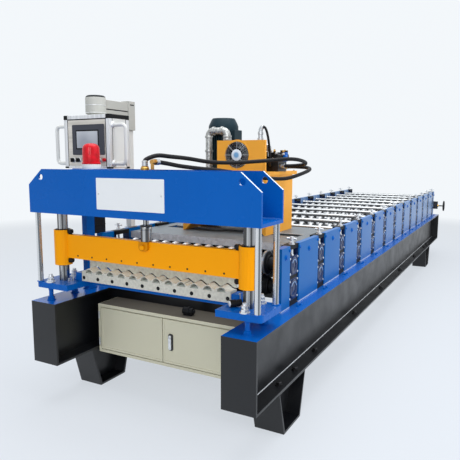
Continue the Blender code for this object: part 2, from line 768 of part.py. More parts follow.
def make_guide_columns():
    """Two bright columns that guide the blade beam."""
    for side, word in ((-1, "left"), (1, "right")):
        rod(
            f"guide_column_{word}", (side * COLUMN_X, COLUMN_Y, 0.0), "Z",
            TABLE_TOP + TOUCH_GAP, HEAD_BOTTOM - TOUCH_GAP, COLUMN_RADIUS, STEEL, 20)


def wave_line(middle):
    """Points of the sheet's wave across the machine at a mean height, left to right."""
    points = []
    for index in range(2 * WAVES + 1):
        swing = -1 if index % 2 == 0 else 1
        points.append((-WAVE_HALF + index * WAVE_PITCH / 2, middle + swing * WAVE_HEIGHT / 2))
    return points


def make_shear_die():
    """Fixed lower die: a wavy top that the sheet slides over, hollow under its crests."""
    bottom = TABLE_TOP + TOUCH_GAP
    mean = TABLE_TOP + DIE_HEIGHT
    valley = mean - WAVE_HEIGHT / 2
    outline = [(-DIE_HALF, valley), (-DIE_HALF, bottom), (DIE_HALF, bottom), (DIE_HALF, valley)]
    outline += wave_line(mean)[::-1]
    slope = WAVE_HEIGHT / (WAVE_PITCH / 2)
    pockets = []
    for index in range(1, 2 * WAVES, 2):
        x = -WAVE_HALF + index * WAVE_PITCH / 2
        apex = mean + WAVE_HEIGHT / 2 - DIE_SKIN
        base = apex - slope * POCKET_HALF
        pockets.append([(x - POCKET_HALF, base), (x + POCKET_HALF, base), (x, apex)])
    plate("shear_die", [outline, *pockets], DIE_FRONT, DIE_FRONT + DIE_DEPTH, "XZ", DIE_STEEL)


def make_blade_beam():
    """Yellow beam with a sleeve on each column, and a shelf that carries the blade."""
    beam = box(
        "blade_beam", (-COLUMN_X, BEAM_FRONT, BEAM_LOW),
        (COLUMN_X, BEAM_FRONT + BLADE_BEAM_DEPTH, BEAM_HIGH), YELLOW)
    parts = []
    bores = []
    for side in (-1, 1):
        place = (side * COLUMN_X, COLUMN_Y, 0.0)
        parts.append(rod(f"sleeve_{side}", place, "Z", SLEEVE_LOW, SLEEVE_HIGH, SLEEVE_RADIUS, YELLOW, 20))
        bores.append(rod(
            f"sleeve_bore_{side}", place, "Z", SLEEVE_LOW - CUT_MARGIN, SLEEVE_HIGH + CUT_MARGIN,
            COLUMN_RADIUS + TOUCH_GAP, YELLOW, 20))
    parts.append(box(
        "blade_shelf", (-DIE_HALF, COLUMN_Y, SHELF_LOW),
        (DIE_HALF, BLADE_FRONT + BLADE_THICKNESS, SHELF_LOW + SHELF_THICKNESS), YELLOW))
    eye = BEAM_HIGH - CLEVIS_DROP
    lobe = [(CLEVIS_HALF, BEAM_HIGH), (-CLEVIS_HALF, BEAM_HIGH)]
    lobe += [
        (CLEVIS_HALF * math.cos(turn), eye + CLEVIS_HALF * math.sin(turn))
        for turn in (math.pi + math.pi * step / 6 for step in range(7))
    ]
    parts.append(plate("clevis", [lobe], BEAM_FRONT - CLEVIS_DEPTH, BEAM_FRONT + CUT_MARGIN, "XZ", YELLOW))
    combine(beam, parts, "UNION")
    combine(beam, bores, "DIFFERENCE")


def make_cutting_blade():
    """Upper blade with a wavy lower edge, hung under the shelf."""
    top = SHELF_LOW - TOUCH_GAP
    mean = TABLE_TOP + DIE_HEIGHT + BLADE_OPEN
    edge = mean - WAVE_HEIGHT / 2
    outline = [(DIE_HALF, edge), (DIE_HALF, top), (-DIE_HALF, top), (-DIE_HALF, edge), *wave_line(mean)]
    plate("cutting_blade", [outline], BLADE_FRONT, BLADE_FRONT + BLADE_THICKNESS, "XZ", DIE_STEEL)


def make_shear_cylinder():
    """Hydraulic cylinder on the head's floor, and its rod with the coupling."""
    place = (0.0, COLUMN_Y, 0.0)
    floor = HEAD_BOTTOM + HEAD_FLOOR + TOUCH_GAP
    top = floor + BARREL_LENGTH
    half = CYLINDER_FLANGE / 2
    barrel = rod("shear_cylinder", place, "Z", floor, top, BARREL_RADIUS, BLUE, 20)
    flange = box(
        "cylinder_flange", (-half, COLUMN_Y - half, floor),
        (half, COLUMN_Y + half, floor + FLANGE_THICKNESS), BLUE)
    port = rod("cylinder_port", place, "Z", top - CUT_MARGIN, PORT_TOP, 0.018, YELLOW, 12)
    x, z = LOWER_HOSE[0][0], LOWER_HOSE[0][2]
    riser = rod("elbow_riser", (x, COLUMN_Y, 0.0), "Z", top - CUT_MARGIN, z + 0.006, 0.009, BRASS, 10)
    elbow = rod("elbow_face", (x, 0.0, z), "Y", COLUMN_Y - 0.006, ELBOW_FACE, 0.012, BRASS, 10)
    bore = rod(
        "rod_bore", place, "Z", floor - CUT_MARGIN, floor + ROD_BORE_DEPTH, ROD_RADIUS + ROD_CLEARANCE,
        BLUE, 12)
    combine(barrel, [flange, port, riser, elbow], "UNION")
    combine(barrel, [bore], "DIFFERENCE")
    foot = BEAM_HIGH + TOUCH_GAP
    shoulder = foot + COUPLING_LENGTH
    tip = shoulder + ROD_LENGTH
    profile = [
        (0.0, tip), (ROD_RADIUS, tip), (ROD_RADIUS, shoulder), (COUPLING_RADIUS, shoulder),
        (COUPLING_RADIUS, foot), (0.0, foot),
    ]
    mesh = turned_mesh("cylinder_rod", profile, 16, "Z")
    smooth(mesh)
    add_object("cylinder_rod", mesh, STEEL, place)


def make_beacon():
    """Warning beacon on the head's strap."""
    base = HEAD_TOP + TOUCH_GAP
    lens = base + BEACON_BASE
    top = lens + BEACON_HEIGHT
    radius = BEACON_RADIUS
    profile = [
        (0.0, top), (0.6 * radius, top - 0.002), (0.85 * radius, top - 0.008), (radius - 0.002, top - 0.022),
        (radius, lens), (radius + BEACON_RIM, lens), (radius + BEACON_RIM, base), (0.0, base),
    ]
    mesh = turned_mesh("beacon", profile, 16, "Z")
    smooth(mesh)
    add_object("beacon", mesh, RED, (BEACON_X, COLUMN_Y, 0.0))


# Electric cabinet

def make_cabinet():
    """Cabinet shell between the beams, open at the front behind its two doors."""
    shell = box(
        "electric_cabinet", (CABINET_LEFT, CABINET_FRONT, CABINET_BOTTOM),
        (CABINET_RIGHT, CABINET_REAR, CABINET_TOP),
        BEIGE)
    cavity = box(
        "cabinet_cavity",
        (CABINET_LEFT + CABINET_WALL, CABINET_FRONT - 0.05, CABINET_BOTTOM + CABINET_WALL),
        (CABINET_RIGHT - CABINET_WALL, CABINET_REAR - CABINET_WALL, CABINET_TOP - CABINET_WALL),
        BEIGE)
    combine(shell, [cavity], "DIFFERENCE")
    low = CABINET_BOTTOM + CABINET_WALL + DOOR_CLEARANCE
    high = CABINET_TOP - CABINET_WALL - DOOR_CLEARANCE
    left = CABINET_LEFT + CABINET_WALL + DOOR_CLEARANCE
    right = CABINET_RIGHT - CABINET_WALL - DOOR_CLEARANCE
    half = DOOR_CLEARANCE / 2
    pin_y = CABINET_FRONT + DOOR_THICKNESS / 2
    reach = DOOR_CLEARANCE - TOUCH_GAP
    for name, first, last, axis in (
        ("cabinet_door_left", left, DOOR_SPLIT - half, left + DOOR_PIN_INSET),
        ("cabinet_door_right", DOOR_SPLIT + half, right, right - DOOR_PIN_INSET),
    ):
        middle = (axis, pin_y, (low + high) / 2)
        door = box(
            name, (first, CABINET_FRONT, low), (last, CABINET_FRONT + DOOR_THICKNESS, high), BEIGE,
            place=middle)
        pin = rod(f"{name}_pin", middle, "Z", low - reach, high + reach, DOOR_PIN_RADIUS, STEEL, 12)
        combine(door, [pin], "UNION")


# Operator panel

def make_panel():
    """Column, swing arm and operator box with a handle on each side."""
    x, y = PANEL_COLUMN
    half = PANEL_COLUMN_SIZE / 2
    column = box(
        "panel_column", (x - half, y - half, SIDE_TOP + TOUCH_GAP), (x + half, y + half, PANEL_COLUMN_TOP),
        STEEL)
    pin_top = PANEL_COLUMN_TOP + PANEL_PIN_HEIGHT
    pin = rod("column_pin", (x, y, 0.0), "Z", PANEL_COLUMN_TOP - 0.02, pin_top, PANEL_PIN_RADIUS, STEEL, 12)
    combine(column, [pin], "UNION")

    head = ARM_HEAD_SIZE / 2
    arm = box(
        "panel_arm", (x - head, y - head, PANEL_COLUMN_TOP + TOUCH_GAP), (x + head, y + head, ARM_HEAD_TOP),
        PALE,
        place=(x, y, PANEL_COLUMN_TOP))
    bar = box(
        "arm_bar", (x - ARM_WIDTH / 2, SWIVEL[1], ARM_LOW), (x + ARM_WIDTH / 2, y, ARM_LOW + ARM_HEIGHT),
        PALE)
    swivel = rod("arm_swivel", (*SWIVEL, 0.0), "Z", SWIVEL_LOW, SWIVEL_HIGH, SWIVEL_RADIUS, PALE, 20)
    bore = rod(
        "arm_bore", (x, y, 0.0), "Z", PANEL_COLUMN_TOP - CUT_MARGIN, pin_top + CUT_MARGIN,
        PANEL_PIN_RADIUS + ROD_CLEARANCE, PALE, 12)
    combine(arm, [bar, swivel], "UNION")
    combine(arm, [bore], "DIFFERENCE")

    left, right = SWIVEL[0] - PANEL_WIDTH / 2, SWIVEL[0] + PANEL_WIDTH / 2
    front, rear = SWIVEL[1] - PANEL_DEPTH / 2, SWIVEL[1] + PANEL_DEPTH / 2
    case = box(
        "operator_panel", (left, front, PANEL_LOW), (right, rear, PANEL_HIGH), PALE,
        place=(*SWIVEL, (PANEL_LOW + PANEL_HIGH) / 2))
    parts = [rod(
        "panel_neck", (*SWIVEL, 0.0), "Z", PANEL_HIGH - CUT_MARGIN, SWIVEL_LOW - TOUCH_GAP,
        PANEL_NECK_RADIUS, PALE, 16)]
    middle = (PANEL_LOW + PANEL_HIGH) / 2 - 0.015
    grip_y = front + 0.030
    for side, edge in ((-1, left), (1, right)):
        inside = edge - side * 0.010
        reach = edge + side * HANDLE_REACH
        low, high = middle - HANDLE_HALF, middle + HANDLE_HALF
        route = [(inside, grip_y, low)]
        route += bend((reach, grip_y, low), (inside, grip_y, low), (reach, grip_y, high), HANDLE_BEND, 3)
        route += bend((reach, grip_y, high), (reach, grip_y, low), (inside, grip_y, high), HANDLE_BEND, 3)
        route.append((inside, grip_y, high))
        parts.append(tube(f"handle_{side}", route, HANDLE_RADIUS, STEEL))
    combine(case, parts, "UNION")


def make_cable_post():
    """Square post and cable duct that stand on the left beam behind the shear."""
    left, front = CABLE_POST_LEFT, CABLE_POST_FRONT
    right, rear = left + CABLE_POST_SIZE[0], front + CABLE_POST_SIZE[1]
    floor = BEAM_TOP + TOUCH_GAP
    box("cable_post", (left, front, floor), (right, rear, floor + CABLE_POST_HEIGHT), BLUE)
    near = FIRST_STATION - WINDOW / 2 - NEAR_PLATE_LENGTH
    top = SIDE_TOP + TOUCH_GAP
    box(
        "cable_duct", (left, near, top), (right, near + DUCT_LENGTH, floor + CABLE_POST_HEIGHT), DARK)


# Power unit

def make_deck():
    """Zinc deck between the first stations, folded down at both ends, with a slot over a roll."""
    slot_half = DECK_HALF - DECK_SLOT_MARGIN
    slot_front = FIRST_STATION + PITCH - DECK_SLOT_WIDTH / 2
    slot = [
        (-slot_half, slot_front), (slot_half, slot_front),
        (slot_half, slot_front + DECK_SLOT_WIDTH), (-slot_half, slot_front + DECK_SLOT_WIDTH),
    ]
    outline = [
        (-DECK_HALF, DECK_FRONT), (DECK_HALF, DECK_FRONT), (DECK_HALF, DECK_REAR), (-DECK_HALF, DECK_REAR)]
    deck = plate("deck_plate", [outline, slot], DECK_TOP - DECK_THICKNESS, DECK_TOP, "XY", ZINC)
    skirts = [
        box(f"deck_skirt_{end}", (-DECK_HALF, near, DECK_TOP - DECK_SKIRT),
            (DECK_HALF, near + DECK_THICKNESS, DECK_TOP - DECK_THICKNESS / 2), ZINC)
        for end, near in enumerate((DECK_FRONT, DECK_REAR - DECK_THICKNESS))
    ]
    combine(deck, skirts, "UNION")


def make_tank():
    """Oil tank with an overhanging lid, on two folded feet."""
    half = TANK_WIDTH / 2
    tank = box(
        "oil_tank", (-half, TANK_FRONT, TANK_BOTTOM), (half, TANK_REAR, TANK_TOP - TANK_LID / 2), ORANGE)
    over = TANK_LID_OVERHANG
    lid = box(
        "tank_lid", (-half - over, TANK_FRONT - over, TANK_TOP - TANK_LID),
        (half + over, TANK_REAR + TANK_LID_TAIL, TANK_TOP), ORANGE)
    floor = DECK_TOP + TOUCH_GAP
    top = TANK_BOTTOM + 0.004
    foot = [(half - FOOT_TOE, floor), (half, floor), (half, top), (half - FOOT_HEAD, top)]
    feet = [
        plate("foot_right", [foot], TANK_FRONT, TANK_REAR, "XZ", ORANGE),
        plate("foot_left", [mirrored(foot)], TANK_FRONT, TANK_REAR, "XZ", ORANGE),
    ]
    combine(tank, [lid, *feet], "UNION")


def make_cooler():
    """Oil cooler: a shroud panel on a narrower core, and the fan that turns in its round well."""
    base = TANK_TOP + TOUCH_GAP
    x, z = FAN_CENTRE
    front = TANK_FRONT
    right = COOLER_LEFT + COOLER_WIDTH
    bottom = front + FAN_WELL_DEPTH
    rear = front + COOLER_DEPTH
    inset_left, inset_right, inset_top = CORE_INSET
    cooler = box("oil_cooler", (COOLER_LEFT, front, base), (right, rear, COOLER_TOP), ORANGE)
    core = box(
        "cooler_core", (COOLER_LEFT + inset_left, rear - COOLER_DEPTH / 2, base),
        (right - inset_right, rear + CORE_DEPTH, COOLER_TOP - inset_top), ORANGE)
    well = rod("fan_well", (x, 0.0, z), "Y", front - CUT_MARGIN, bottom, FAN_WELL, ORANGE, 20)
    combine(cooler, [core], "UNION")
    combine(cooler, [well], "DIFFERENCE")
    fan = rod("cooler_fan", (x, 0.0, z), "Y", front + 0.012, bottom - TOUCH_GAP, FAN_HUB_RADIUS, DARK, 12)
    tip = FAN_WELL - FAN_TIP_GAP
    blades = []
    for index in range(FAN_BLADES):
        angle = 2 * math.pi * index / FAN_BLADES
        blade = box(
            f"fan_blade_{index}", (-0.016, -0.0015, FAN_HUB_RADIUS - 0.006), (0.016, 0.0015, tip), DARK,
            place=(0.0, 0.0, 0.0))
        spin = Matrix.Rotation(angle, 4, "Y") @ Matrix.Rotation(math.radians(BLADE_PITCH), 4, "Z")
        blade.matrix_local = Matrix.Translation((x, (front + bottom) / 2, z)) @ spin
        blades.append(blade)
    combine(fan, blades, "UNION")


def make_motor():
    """Vertical pump motor with its fan cowl and terminal box."""
    x, y = MOTOR_CENTRE
    base = TANK_TOP + TOUCH_GAP
    shoulder = base + MOTOR_HEIGHT
    top = shoulder + COWL_HEIGHT
    profile = [
        (0.0, top), (COWL_RADIUS - 0.6 * COWL_TAPER, top), (COWL_RADIUS, top - COWL_TAPER),
        (COWL_RADIUS, shoulder), (MOTOR_RADIUS, shoulder), (MOTOR_RADIUS, base + MOTOR_FLANGE),
        (COWL_RADIUS, base + MOTOR_FLANGE), (COWL_RADIUS, base), (0.0, base),
    ]
    mesh = turned_mesh("pump_motor", profile, 20, "Z")
    smooth(mesh, 30)
    motor = add_object("pump_motor", mesh, DARK, (x, y, 0.0))
    depth, width, height = TERMINAL_BOX
    start = x + 0.8 * MOTOR_RADIUS
    low = (start, y - width / 2, shoulder - 0.020 - height)
    terminal = box(
        "terminal_box", low, (x + MOTOR_RADIUS + 0.6 * depth, y + width / 2, low[2] + height), DARK)
    combine(motor, [terminal], "UNION")


def make_return_pipe():
    """Grey return pipe that rises from the tank and turns down into the cooler."""
    left, right = PIPE_FEET
    top = TANK_TOP + PIPE_HEIGHT
    low_left, low_right = TANK_TOP + TOUCH_GAP, COOLER_TOP + TOUCH_GAP
    y = PIPE_Y
    route = [(left, y, low_left)]
    route += bend((left, y, top), (left, y, low_left), (right, y, top), PIPE_BEND)
    route += bend((right, y, top), (left, y, top), (right, y, low_right), PIPE_BEND)
    route.append((right, y, low_right))
    tube("return_pipe", route, PIPE_RADIUS, PALE)


def make_valve_block():
    """Valve block with a stack of solenoid valves on the tank lid."""
    x0, x1, y0, y1 = VALVE_BOX
    base = TANK_TOP + TOUCH_GAP
    top = TANK_TOP + VALVE_HEIGHT
    block = box("valve_block", (x0, y0, base), (x1, y1, top), DARK)
    stacks = []
    half = 0.42 * (y1 - y0) / 2
    for index, y in enumerate((y0 + half, y1 - half)):
        stacks.append(box(
            f"valve_body_{index}", (x0 + 0.015, y - 0.8 * half, top - 0.005),
            (x1 - 0.015, y + 0.8 * half, top + VALVE_BODY_HEIGHT), DARK))
        stacks.append(rod(
            f"solenoid_{index}", (0.0, y, top + VALVE_BODY_HEIGHT / 2), "X", x0 - 0.030, x1 + 0.020,
            SOLENOID_RADIUS, DARK, 10))
    combine(block, stacks, "UNION")


def make_hoses():
    """Two hoses from the shear's cylinder to the valve block."""
    for name, points in (("upper_hose", UPPER_HOSE), ("lower_hose", LOWER_HOSE)):
        tube(name, smooth_route(points, HOSE_STEP), HOSE_RADIUS, RUBBER)


# Entry guide

def make_entry_guide():
    """Guide bar across the entry, with the screw and handwheel that set it."""
    reach = SIDE_OUTER - SIDE_THICKNESS - TOUCH_GAP
    far = BED_LENGTH - FAR_PLATE_MARGIN
    front = far - GUIDE_DEPTH
    top = GUIDE_LOW + GUIDE_HEIGHT
    bar = box("entry_guide", (-reach, front, GUIDE_LOW), (reach, far, top), STEEL)
    half = GUIDE_POST_WIDTH / 2
    guides = [
        box(f"guide_post_{side}", (side * GUIDE_POST_X - half, front, top - 0.004),
            (side * GUIDE_POST_X + half, far, top + GUIDE_POST_HEIGHT), STEEL)
        for side in (-1, 1)
    ]
    combine(bar, guides, "UNION")
    x, y, z = WHEEL_PLACE
    start = SIDE_OUTER + TOUCH_GAP
    seat = start + BRACKET_LENGTH / 3
    bracket = box(
        "guide_bracket", (start, y - 0.015, z - 0.045), (start + BRACKET_LENGTH, y + 0.015, z + 0.060), DARK)
    bore_radius = WHEEL_SCREW_RADIUS + SCREW_CLEARANCE
    passage = rod(
        "screw_bore", (0.0, y, z), "X", seat, start + BRACKET_LENGTH + CUT_MARGIN, bore_radius, DARK, 12)
    combine(bracket, [passage], "DIFFERENCE")
    wheel = rod("guide_handwheel", (0.0, y, z), "X", seat + TOUCH_GAP, x, WHEEL_SCREW_RADIUS, DARK, 12)
    outer, inner = WHEEL_RADIUS, WHEEL_RADIUS - RIM_DEPTH
    profile = [
        (outer, RIM_WIDTH / 2), (outer, -RIM_WIDTH / 2), (inner, -RIM_WIDTH / 2), (inner, RIM_WIDTH / 2)]
    rim = add_object("wheel_rim", ring_mesh("wheel_rim", profile, 16), DARK, (x, y, z))
    reach, half = WHEEL_RADIUS - 0.8 * RIM_DEPTH, SPOKE_WIDTH / 2
    spokes = [
        box("wheel_spoke_a", (x - 0.005, y - half, z - reach), (x + 0.005, y + half, z + reach), DARK),
        box("wheel_spoke_b", (x - 0.005, y - reach, z - half), (x + 0.005, y + reach, z + half), DARK),
    ]
    combine(wheel, [rim, *spokes], "UNION")


def ring_mesh(name, profile, sides):
    """A closed profile of radius and height pairs turned into a ring about X."""
    line = bpy.data.meshes.new(name)
    build = bmesh.new()
    points = [build.verts.new((radius, 0.0, height)) for radius, height in profile]
    for index, point in enumerate(points):
        build.edges.new((point, points[(index + 1) % len(points)]))
    build.to_mesh(line)
    build.free()
    holder = bpy.data.objects.new(name, line)
    MACHINE.objects.link(holder)
    screw = holder.modifiers.new("turn", "SCREW")
    screw.steps = sides
    screw.render_steps = sides
    screw.use_merge_vertices = True
    screw.merge_threshold = 0.0001
    mesh = mesh_of(holder, name)
    mesh.transform(AXIS_TURN["X"])
    return mesh


make_bed_frame()
make_side_frames()
make_rolls()
make_shear_head()
make_shear_table()
make_guide_columns()
make_shear_die()
make_blade_beam()
make_cutting_blade()
make_shear_cylinder()
make_beacon()
make_cabinet()
make_panel()
make_cable_post()
make_deck()
make_tank()
make_cooler()
make_motor()
make_return_pipe()
make_valve_block()
make_hoses()
make_entry_guide()
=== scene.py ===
# %% [markdown]
# A roll forming machine turns flat steel coil into corrugated roof sheet: a long bed carries
# thirteen pairs of wave rolls, and a shear at the near end cuts the finished sheet. The packed
# CAD model is loaded first and stays as it is. Everything made below is a finish on one of its
# nodes, or a finer piece that rides on one of its bodies.

# %% Load the frame
import math

import bmesh
import bpy
from mathutils import Matrix, Vector


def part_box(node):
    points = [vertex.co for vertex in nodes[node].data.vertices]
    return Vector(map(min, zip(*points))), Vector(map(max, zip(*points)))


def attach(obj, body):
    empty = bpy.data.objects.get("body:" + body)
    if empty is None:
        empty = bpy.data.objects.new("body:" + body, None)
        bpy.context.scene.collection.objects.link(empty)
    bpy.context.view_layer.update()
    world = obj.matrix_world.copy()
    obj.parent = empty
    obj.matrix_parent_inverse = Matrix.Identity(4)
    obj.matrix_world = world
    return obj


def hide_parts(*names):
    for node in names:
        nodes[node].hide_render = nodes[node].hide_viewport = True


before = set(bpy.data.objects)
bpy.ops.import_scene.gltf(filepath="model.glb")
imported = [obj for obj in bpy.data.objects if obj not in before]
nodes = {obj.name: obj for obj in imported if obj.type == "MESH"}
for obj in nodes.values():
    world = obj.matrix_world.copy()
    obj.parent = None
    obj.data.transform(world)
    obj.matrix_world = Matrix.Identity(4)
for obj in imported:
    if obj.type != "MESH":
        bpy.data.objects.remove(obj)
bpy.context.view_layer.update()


# %% [markdown]
# Measures are easiest to think of in the machine's own terms: across from its centre plane,
# along from the near end of the beams, and up from the floor. The two beams give that origin,
# so a small function turns such a place into the frame's metres.

# %% Places in the machine's own terms
def box_of(node):
    """Lowest and highest corner of a CAD node."""
    low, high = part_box(node)
    return Vector(low), Vector(high)


bed_low, bed_high = box_of("bed_frame")
ORIGIN = Vector(((bed_low.x + bed_high.x) / 2, bed_low.y, 0.0))


def at(across, along, up):
    """A place in metres from the centre plane, the near end and the floor."""
    return ORIGIN + Vector((across, along, up))


def own(point):
    """A frame place in the machine's own terms."""
    return Vector(point) - ORIGIN


def own_box(node):
    """Both corners of a CAD node in the machine's own terms."""
    low, high = box_of(node)
    return own(low), own(high)


print("machine origin:", tuple(round(v, 4) for v in ORIGIN))


# %% [markdown]
# The camera comes before the looks, because what it sees decides where detail pays. It stands at
# the near right corner, a little above the shear, and looks along the bed. Its place, turn and
# lens were worked out from the machine's straight edges, which meet at two vanishing points.

# %% Camera
CAMERA_PLACE = (1.6036, -1.9265, 1.3609)
CAMERA_YAW = math.radians(28.534)
CAMERA_PITCH = math.radians(7.715)
CAMERA_ROLL = math.radians(0.144)
SENSOR = 36.0
FOCAL_PIXELS = 519.80
PICTURE_PIXELS = 460.0


def make_camera():
    """Camera at the photograph's place, turned by yaw, pitch and roll."""
    forward = Vector((
        -math.sin(CAMERA_YAW) * math.cos(CAMERA_PITCH),
        math.cos(CAMERA_YAW) * math.cos(CAMERA_PITCH),
        -math.sin(CAMERA_PITCH),
    ))
    level = Vector((math.cos(CAMERA_YAW), math.sin(CAMERA_YAW), 0.0))
    above = level.cross(forward)
    right = level * math.cos(CAMERA_ROLL) + above * math.sin(CAMERA_ROLL)
    up = above * math.cos(CAMERA_ROLL) - level * math.sin(CAMERA_ROLL)
    data = bpy.data.cameras.new("camera")
    data.sensor_width = SENSOR
    data.lens = FOCAL_PIXELS / PICTURE_PIXELS * SENSOR
    camera = bpy.data.objects.new("camera", data)
    camera.matrix_world = (
        Matrix.Translation(at(*CAMERA_PLACE)) @ Matrix((right, up, -forward)).transposed().to_4x4()
    )
    bpy.context.scene.collection.objects.link(camera)
    bpy.context.scene.camera = camera
    return camera


camera = make_camera()
print("lens:", round(camera.data.lens, 2), "mm")


# %% [markdown]
# A finish is a Principled shader fed by a few small building blocks: clouds of noise, a mix of two
# colours, a bump. Each block is a short function that returns a socket, so a material reads as a
# sentence. Coordinates are the object's own, so a pattern stays on its piece when it moves.

# %% Building blocks for finishes
def srgb(red, green, blue):
    """A screen colour from 0 to 255 as the linear colour that the shader wants."""
    def linear(value):
        value = value / 255
        return value / 12.92 if value <= 0.04045 else ((value + 0.055) / 1.055) ** 2.4
    return (linear(red), linear(green), linear(blue), 1.0)


def new_finish(name, colour, roughness, metallic=0.0):
    """A material and its shader, with plain values to start from."""
    finish = bpy.data.materials.new(name)
    finish.use_nodes = True
    shader = finish.node_tree.nodes["Principled BSDF"]
    shader.inputs["Base Color"].default_value = colour
    shader.inputs["Roughness"].default_value = roughness
    shader.inputs["Metallic"].default_value = metallic
    return finish, shader


def join(finish, source, target):
    """Link two sockets of one material."""
    finish.node_tree.links.new(source, target)


def place_socket(finish, stretch=(1.0, 1.0, 1.0)):
    """The object's own coordinates, stretched along each axis."""
    tree = finish.node_tree.nodes
    place = tree.new("ShaderNodeTexCoord")
    mapping = tree.new("ShaderNodeMapping")
    mapping.inputs["Scale"].default_value = stretch
    join(finish, place.outputs["Object"], mapping.inputs["Vector"])
    return mapping.outputs["Vector"]


def cloud(finish, scale, detail=3.0, stretch=(1.0, 1.0, 1.0)):
    """Soft noise from 0 to 1."""
    noise = finish.node_tree.nodes.new("ShaderNodeTexNoise")
    noise.inputs["Scale"].default_value = scale
    noise.inputs["Detail"].default_value = detail
    join(finish, place_socket(finish, stretch), noise.inputs["Vector"])
    return noise.outputs["Fac"]


def spread(finish, source, low, high, from_low=0.35, from_high=0.65):
    """Stretch a socket's middle range to low and high."""
    node = finish.node_tree.nodes.new("ShaderNodeMapRange")
    for name, value in (("From Min", from_low), ("From Max", from_high), ("To Min", low), ("To Max", high)):
        node.inputs[name].default_value = value
    join(finish, source, node.inputs["Value"])
    return node.outputs["Result"]


def between(finish, factor, first, second):
    """A colour between two, each a colour or a socket."""
    node = finish.node_tree.nodes.new("ShaderNodeMix")
    node.data_type = "RGBA"
    join(finish, factor, node.inputs["Factor"])
    for socket, value in ((node.inputs[6], first), (node.inputs[7], second)):
        if isinstance(value, tuple):
            socket.default_value = value
        else:
            join(finish, value, socket)
    return node.outputs[2]


def sums(finish, kind, first, second, third=None):
    """One Math node of a kind, on sockets or numbers."""
    node = finish.node_tree.nodes.new("ShaderNodeMath")
    node.operation = kind
    for socket, value in zip(node.inputs, (first, second, third)):
        if isinstance(value, (int, float)):
            socket.default_value = value
        elif value is not None:
            join(finish, value, socket)
    return node.outputs["Value"]


def bumps(finish, shader, height, distance):
    """Raise the surface by a height socket, in metres."""
    node = finish.node_tree.nodes.new("ShaderNodeBump")
    node.inputs["Strength"].default_value = 0.5
    node.inputs["Distance"].default_value = distance
    join(finish, height, node.inputs["Height"])
    join(finish, node.outputs["Normal"], shader.inputs["Normal"])


def axes(finish, source=None):
    """The X, Y and Z sockets of a vector, or of the place on the object."""
    split = finish.node_tree.nodes.new("ShaderNodeSeparateXYZ")
    join(finish, source or place_socket(finish), split.inputs["Vector"])
    return split.outputs


def looks(finish):
    """The X, Y and Z sockets of the way that the surface looks."""
    return axes(finish, finish.node_tree.nodes.new("ShaderNodeTexCoord").outputs["Normal"])


def band(finish, axis, low, high):
    """1 where the place along an axis lies between low and high, else 0."""
    return sums(finish, "COMPARE", axes(finish)[axis], (low + high) / 2, (high - low) / 2)


def facing(finish, axis, least):
    """1 where the surface looks along an axis by at least so much."""
    return sums(finish, "GREATER_THAN", looks(finish)[axis], least)


def glints(finish, weights, phase):
    """Painted reflections: dark and bright stripes round a form, from 0 to 1, by the way that its surface
    looks.
    """
    total = phase
    normal = looks(finish)
    for axis, weight in zip("XYZ", weights):
        if weight:
            total = sums(finish, "MULTIPLY_ADD", normal[axis], weight, total)
    return spread(finish, sums(finish, "SINE", total, 0.0), 0.0, 1.0, -0.6, 0.7)


def distance_from(finish, centre):
    """Distance in metres from a place in the machine's own terms."""
    node = finish.node_tree.nodes.new("ShaderNodeVectorMath")
    node.operation = "DISTANCE"
    node.inputs[1].default_value = at(*centre)
    join(finish, place_socket(finish), node.inputs[0])
    return node.outputs["Value"]


def darker(colour, share):
    """The same colour, darker by a share."""
    return tuple(value * (1 - share) for value in colour[:3]) + (1.0,)


print("building blocks ready")


# %% [markdown]
# Enamel on steel plate is nearly smooth, but never quite: it pulls into a fine orange peel, its
# gloss drifts, and handling leaves slightly darker clouds. Low noise drives the colour and the
# gloss, and a much finer one the bump.

# %% Enamel
def enamel(name, colour, roughness, shade=0.09, peel=0.0004, gleam=0.12):
    """Painted steel with clouded colour, drifting gloss and fine orange peel."""
    finish, shader = new_finish(name, colour, roughness)
    shader.inputs["Specular IOR Level"].default_value = gleam
    clouds = cloud(finish, 1.3, 5.0)
    tone = between(finish, spread(finish, clouds, 0.0, 1.0), darker(colour, shade), colour)
    join(finish, tone, shader.inputs["Base Color"])
    gloss = spread(finish, cloud(finish, 6.0, 4.0), roughness - 0.05, roughness + 0.08)
    join(finish, gloss, shader.inputs["Roughness"])
    bumps(finish, shader, cloud(finish, 140.0, 2.0), peel)
    return finish


BLUE = srgb(4, 92, 180)
SIDE_BLUE = srgb(2, 98, 172)
NAVY = srgb(22, 42, 84)
BLACK = srgb(14, 16, 20)
YELLOW = srgb(252, 164, 0)
ORANGE = srgb(250, 176, 66)
BEIGE = srgb(208, 205, 182)
PALE = srgb(222, 224, 222)
CHARCOAL = srgb(34, 54, 63)
SIGNAL_RED = srgb(204, 10, 28)

yellow_enamel = enamel("yellow_enamel", YELLOW, 0.36, 0.06)
# The clevis tab is the beam's yellow painted darker, as shade.
tab_enamel_shaded = enamel("tab_enamel_shaded", srgb(216, 138, 0), 0.36, 0.06)
beige_powder = enamel("beige_powder", BEIGE, 0.50, 0.05, 0.0006)
pale_powder = enamel("pale_powder", PALE, 0.42, 0.05, 0.0005)
motor_paint = enamel("motor_paint", CHARCOAL, 0.42, 0.22)
blue_enamel = enamel("blue_enamel", BLUE, 0.24)
